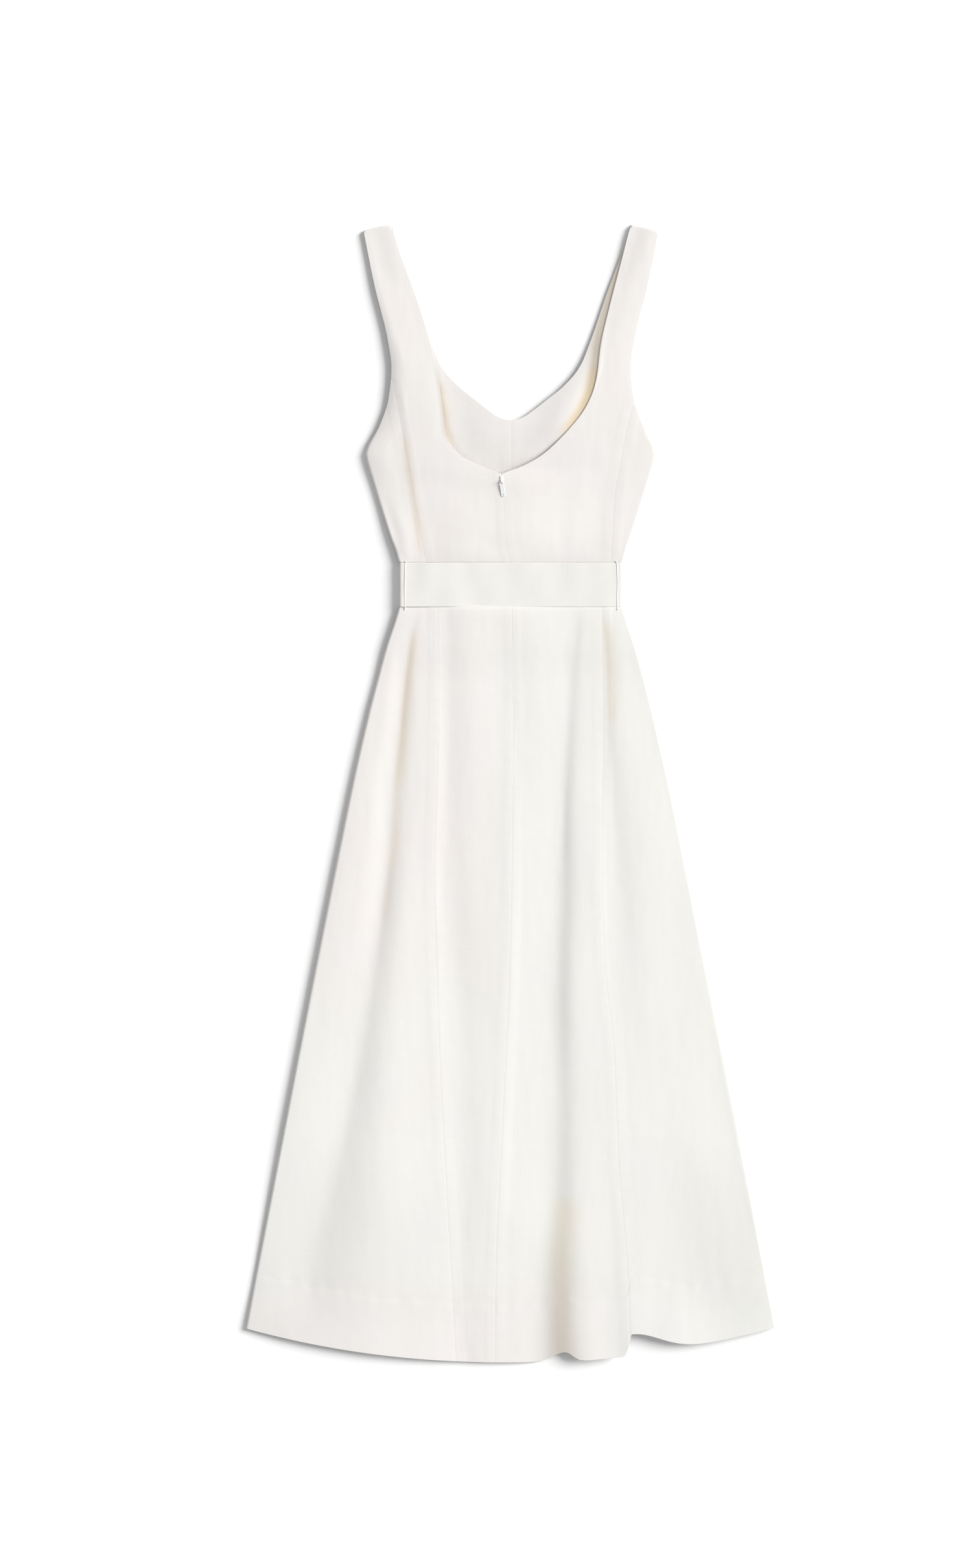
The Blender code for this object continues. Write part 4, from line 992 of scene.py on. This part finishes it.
def make_slider():
    """The slider's body, its waist and wings, and the bail that the tab turns in."""
    low, high = (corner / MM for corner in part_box("zip_slider"))
    x = (low.x + high.x) / 2
    rise = (low.y + high.y) / 2 + MIDDLE_RISE
    base = low.z - SLIDER.sunk
    deck = low.z + SLIDER.height
    turn = np.arange(SLIDER.points) * math.tau / SLIDER.points
    half = SLIDER.width / 2 * (1 - SLIDER.taper * (1 - np.sin(turn)))
    along_it = SLIDER.length / 2 * squared(np.sin(turn))
    shape = np.stack([x + half * squared(np.cos(turn)), rise + along_it], -1)
    levels = [(level.inset, base + level.height) for level in SLIDER.foot]
    levels += [(level.inset, deck + level.height) for level in SLIDER.deck]
    part = np.linspace(0, math.pi, ARCH_POINTS)
    hinge_rise = HINGE[1] / MM + MIDDLE_RISE
    span = (BAIL.hollow + BAIL.wall) / 2
    arch_height = BAIL.hollow + BAIL.wall / 2 + BAIL.sunk
    arch = np.stack([np.full(ARCH_POINTS, x), hinge_rise + span * squared(np.cos(part)),
                     deck - BAIL.sunk + arch_height * squared(np.sin(part))], -1)
    parts = [plate(shape, levels), tube(arch, BAIL.wall / 2, BAIL.sides)]
    add_small("zip_slider_body", parts, ENAMEL, "zip_slider")


def make_tab():
    """The pull tab, a plate with an eye at its upper end and a small hole at its tip."""
    half = TAB.width / 2
    bar = TAB.bar / 2
    tip = TAB.length - bar
    head = [(half * TAB.head, bar), (half * TAB.neck, -TAB.neck_drop), (half, -TAB.shoulder)]
    foot = [(-half * math.cos(turn), half - tip - half * math.sin(turn))
            for turn in np.linspace(0, math.pi, ARCH_POINTS)]
    shape = head[:1] + [(-px, py) for px, py in head] + foot + head[:0:-1]
    eye_half = TAB.eye / 2
    eye = [(-eye_half, -bar), (-eye_half, -TAB.eye_end), (eye_half, -TAB.eye_end), (eye_half, -bar)]
    hole = [(TAB.hole * math.cos(turn), TAB.hole_up - tip + TAB.hole * math.sin(turn))
            for turn in np.arange(TAB.hole_points) * math.tau / TAB.hole_points]
    data = bpy.data.curves.new("tab_outline", "CURVE")
    data.dimensions = "2D"
    data.fill_mode = "BOTH"
    data.extrude = (TAB.wall / 2 - TAB.bevel) * MM
    data.bevel_depth = TAB.bevel * MM
    data.bevel_resolution = 2
    data.offset = -TAB.bevel * MM
    for points in (shape, eye, hole):
        spline = data.splines.new("POLY")
        spline.points.add(len(points) - 1)
        for target, (px, py) in zip(spline.points, points):
            target.co = (px * MM, py * MM, 0, 1)
        spline.use_cyclic_u = True
    guide = link(bpy.data.objects.new("tab_outline", data))
    bpy.context.view_layer.update()
    mesh = bpy.data.meshes.new_from_object(guide.evaluated_get(bpy.context.evaluated_depsgraph_get()))
    bpy.data.objects.remove(guide)
    rest = Matrix.Rotation(TAB.rest, 4, "X") @ Matrix.Rotation(TAB.lean, 4, "Z")
    mesh.transform(Matrix.Translation(HINGE) @ rest)
    mesh.materials.clear()
    mesh.materials.append(TAB_PAINT)
    declare(link(bpy.data.objects.new("zip_pull_tab_plate", mesh)), "pull_tab", "zip_pull_tab")


class Nodes:
    """Shorthand for building one material's nodes."""

    def __init__(self, name):
        self.material = bpy.data.materials.new(name)
        self.material.use_nodes = True
        self.tree = self.material.node_tree
        self.shader = self.tree.nodes["Principled BSDF"]

    def add(self, kind, inputs=None, **settings):
        node = self.tree.nodes.new(kind)
        for key, value in settings.items():
            setattr(node, key, value)
        for key, value in (inputs or {}).items():
            self.put(node.inputs[key], value)
        return node

    def put(self, socket, value):
        if isinstance(value, bpy.types.NodeSocket):
            self.tree.links.new(value, socket)
        else:
            socket.default_value = value

    def surface(self, **values):
        """Sets the shader's inputs, whose names have underscores here for their blanks."""
        for key, value in values.items():
            self.put(self.shader.inputs[key.replace("_", " ")], value)

    def math(self, operation, a, b=0.0):
        return self.add("ShaderNodeMath", {0: a, 1: b}, operation=operation).outputs[0]

    def times(self, a, b):
        return self.math("MULTIPLY", a, b)

    def plus(self, a, b):
        return self.math("ADD", a, b)

    def attribute(self, name):
        return self.add("ShaderNodeAttribute", attribute_name=name).outputs["Fac"]

    def noise(self, vector, scale, detail=2.0, roughness=0.5):
        node = self.add("ShaderNodeTexNoise", {"Vector": vector, "Scale": scale, "Detail": detail,
                                               "Roughness": roughness})
        return node.outputs["Fac"]

    def cloth_noise(self, u, v, lengths=(1.0, 1.0), start=0.0, **kind):
        """Noise on the cloth, stretched to the two lengths."""
        if lengths != (1.0, 1.0):
            u, v = [self.math("DIVIDE", place, length) for place, length in zip((u, v), lengths)]
        place = self.add("ShaderNodeCombineXYZ", {0: u, 1: v, 2: start}).outputs[0]
        return self.noise(place, **kind)

    def mix(self, factor, a, b, blend="MIX"):
        node = self.add("ShaderNodeMix", {"Factor": factor, "A": a, "B": b}, data_type="RGBA",
                        blend_type=blend)
        return node.outputs["Result"]

    def tint(self, colour, by):
        return self.mix(1.0, colour, by, "MULTIPLY")

    def remap(self, value, low, high, to_low=0.0, to_high=1.0):
        return self.add("ShaderNodeMapRange", {0: value, 1: low, 2: high, 3: to_low, 4: to_high}).outputs[0]

    def bump(self, height, distance):
        values = {"Height": height, "Distance": distance, "Strength": 1.0}
        return self.add("ShaderNodeBump", values).outputs[0]


def shade(colour, shares):
    """A colour times a share for each channel."""
    return [min(channel * share, 1) for channel, share in zip(colour, shares)] + [1]


def linen_material(name, colour, pitch=0.75, slub=1.0):
    """Plain-woven linen: threads over and under each other, with thick and thin ones both ways."""
    nodes = Nodes(name)
    grain = nodes.add("ShaderNodeUVMap", uv_map="Grain").outputs[0]
    split = nodes.add("ShaderNodeSeparateXYZ", {0: grain})
    u = nodes.times(split.outputs[0], 1 / MM)
    v = nodes.times(split.outputs[1], 1 / MM)

    drift = nodes.cloth_noise(u, v, scale=0.05, detail=1.0)
    drifted_u = nodes.plus(u, nodes.times(drift, 2.0))
    drifted_v = nodes.plus(v, nodes.times(drift, 2.0))
    warp = nodes.math("SINE", nodes.times(drifted_u, math.pi / pitch))
    weft = nodes.math("SINE", nodes.times(drifted_v, math.pi / (pitch * 1.08)))
    thread = nodes.math("POWER", nodes.math("ABSOLUTE", nodes.times(warp, weft)), 0.6)

    slubs = dict(scale=1.0, detail=3.0, roughness=0.6)
    down = nodes.cloth_noise(u, v, DOWN_SLUB, **slubs)
    across = nodes.cloth_noise(u, v, ACROSS_SLUB, start=7.0, **slubs)
    thick = nodes.plus(nodes.remap(down, 0.36, 0.7), nodes.remap(across, 0.36, 0.7))
    cloud = nodes.cloth_noise(u, v, start=3.0, scale=0.012)
    fleck = nodes.cloth_noise(u, v, FLECK, scale=0.6)

    light = shade(colour, LIGHT_SHARE)
    # Painted shade for the hollows between the threads, also the colour of the dark flecks.
    hollow = shade(colour, HOLLOW_SHADE_AND_FLECK_SHARE)
    threads = nodes.remap(thick, 0.3, 1.7, 0.25 * slub, 1.0 - 0.1 * slub)
    body = nodes.mix(threads, shade(colour, DARK_SHARE), light)
    body = nodes.mix(nodes.remap(cloud, 0.35, 0.65, 0.0, 0.5), body, shade(colour, WARM_SHARE))
    body = nodes.mix(nodes.remap(thread, 0.0, 0.6, 0.22, 0.0), body, hollow)
    body = nodes.mix(nodes.remap(fleck, 0.62, 0.75, 0.0, 0.25), body, hollow)
    body = nodes.mix(nodes.times(nodes.attribute("doubled"), 0.35), body, light)
    # Painted light and shade: cool where light falls, warm in shade, with random tone.
    body = nodes.tint(body, nodes.mix(nodes.attribute("painted_warm_shade_and_tone"), COOL, WARM))
    # Painted shade: brown in the creases.
    body = nodes.tint(body, nodes.mix(nodes.attribute("tinge"), PLAIN, PAINTED_CREASE_SHADE))
    # Painted shade: darker towards the hem.
    body = nodes.tint(body, nodes.mix(nodes.attribute("painted_hem_shade"), PLAIN, BLACK))

    height = nodes.plus(nodes.times(thread, 0.5), nodes.times(thick, 0.5 * slub))
    nodes.surface(Base_Color=body, Normal=nodes.bump(height, 0.03 * MM), Specular_IOR_Level=0.25,
                  Roughness=nodes.remap(thick, 0.2, 1.6, LINEN_ROUGHNESS - 0.05, LINEN_ROUGHNESS + 0.05),
                  Sheen_Weight=LINEN_SHEEN, Sheen_Roughness=0.5)
    return nodes.material


def plain_material(name, colour, scale, variation, roughness, bump, metallic=0.0):
    """A surface whose colour, gloss and relief vary with fine noise."""
    nodes = Nodes(name)
    noise = nodes.noise(nodes.add("ShaderNodeTexCoord").outputs["Object"], scale, 3.0)
    dark = shade(colour, [1 - variation] * 3)
    light = shade(colour, [1 + variation / 2] * 3)
    nodes.surface(Base_Color=nodes.mix(nodes.remap(noise, 0.3, 0.7), dark, light),
                  Roughness=nodes.remap(noise, 0.3, 0.7, roughness - 0.05, roughness + 0.05),
                  Normal=nodes.bump(noise, bump * MM), Metallic=metallic)
    return nodes.material


def make_floor():
    """A wide plain floor under the dress."""
    half = FLOOR_HALF
    data = bpy.data.meshes.new("Floor")
    data.from_pydata([(-half, -half, 0), (half, -half, 0), (half, half, 0), (-half, half, 0)], [],
                     [(0, 1, 2, 3)])
    nodes = Nodes("Floor")
    noise = nodes.noise(nodes.add("ShaderNodeTexCoord").outputs["Object"], 3.0)
    nodes.surface(Base_Color=nodes.mix(noise, *FLOOR_COLOURS), Roughness=0.9, Specular_IOR_Level=0.1)
    data.materials.append(nodes.material)
    link(bpy.data.objects.new("Floor", data))


def make_light():
    """A broad soft key from the right and a little from above, and an even pale surround."""
    sun = bpy.data.lights.new("Key", "SUN")
    sun.energy = KEY.strength
    sun.angle = math.radians(KEY.spread)
    sun.color = KEY.colour
    key = link(bpy.data.objects.new("Key", sun))
    key.rotation_euler = (0, math.radians(90 - KEY.elevation), math.radians(KEY.turn))
    world = bpy.data.worlds.new("Surround")
    world.use_nodes = True
    surround = world.node_tree.nodes["Background"]
    surround.inputs["Color"].default_value = SURROUND.colour
    surround.inputs["Strength"].default_value = SURROUND.strength
    bpy.context.scene.world = world
    bpy.context.scene.view_settings.view_transform = "Standard"


def make_camera():
    """Straight above the dress, with its straps at the top of the picture."""
    data = bpy.data.cameras.new("Camera")
    data.lens = 85
    data.sensor_width = 36
    data.clip_end = 50
    camera = link(bpy.data.objects.new("Camera", data))
    camera.location = CAMERA_PLACE
    bpy.context.scene.camera = camera


LINEN = linen_material("Linen", (0.785, 0.773, 0.757))
BELT_LINEN = linen_material("BeltLinen", (0.778, 0.772, 0.752), pitch=0.7, slub=0.8)
THREAD = plain_material("Thread", (0.82, 0.81, 0.79), scale=900, variation=0.06, roughness=0.7, bump=0.04)
PLASTIC = plain_material("Coil", (0.75, 0.74, 0.72), scale=500, variation=0.08, roughness=0.4, bump=0.02)
ENAMEL = plain_material("Enamel", (0.80, 0.80, 0.79), scale=400, variation=0.08, roughness=0.35, bump=0.02,
                        metallic=0.1)
TAB_PAINT = plain_material("TabPaint", (0.79, 0.79, 0.80), scale=300, variation=0.04, roughness=0.45,
                           bump=0.02)

make_floor()
make_light()
make_camera()
make_front_bodice()
make_front_skirt()
make_back_skirt()
make_back_bodice()
make_belt()
make_belt_loop("belt_loop_left", -1)
make_belt_loop("belt_loop_right", 1)
make_zip_chain()
make_slider()
make_tab()
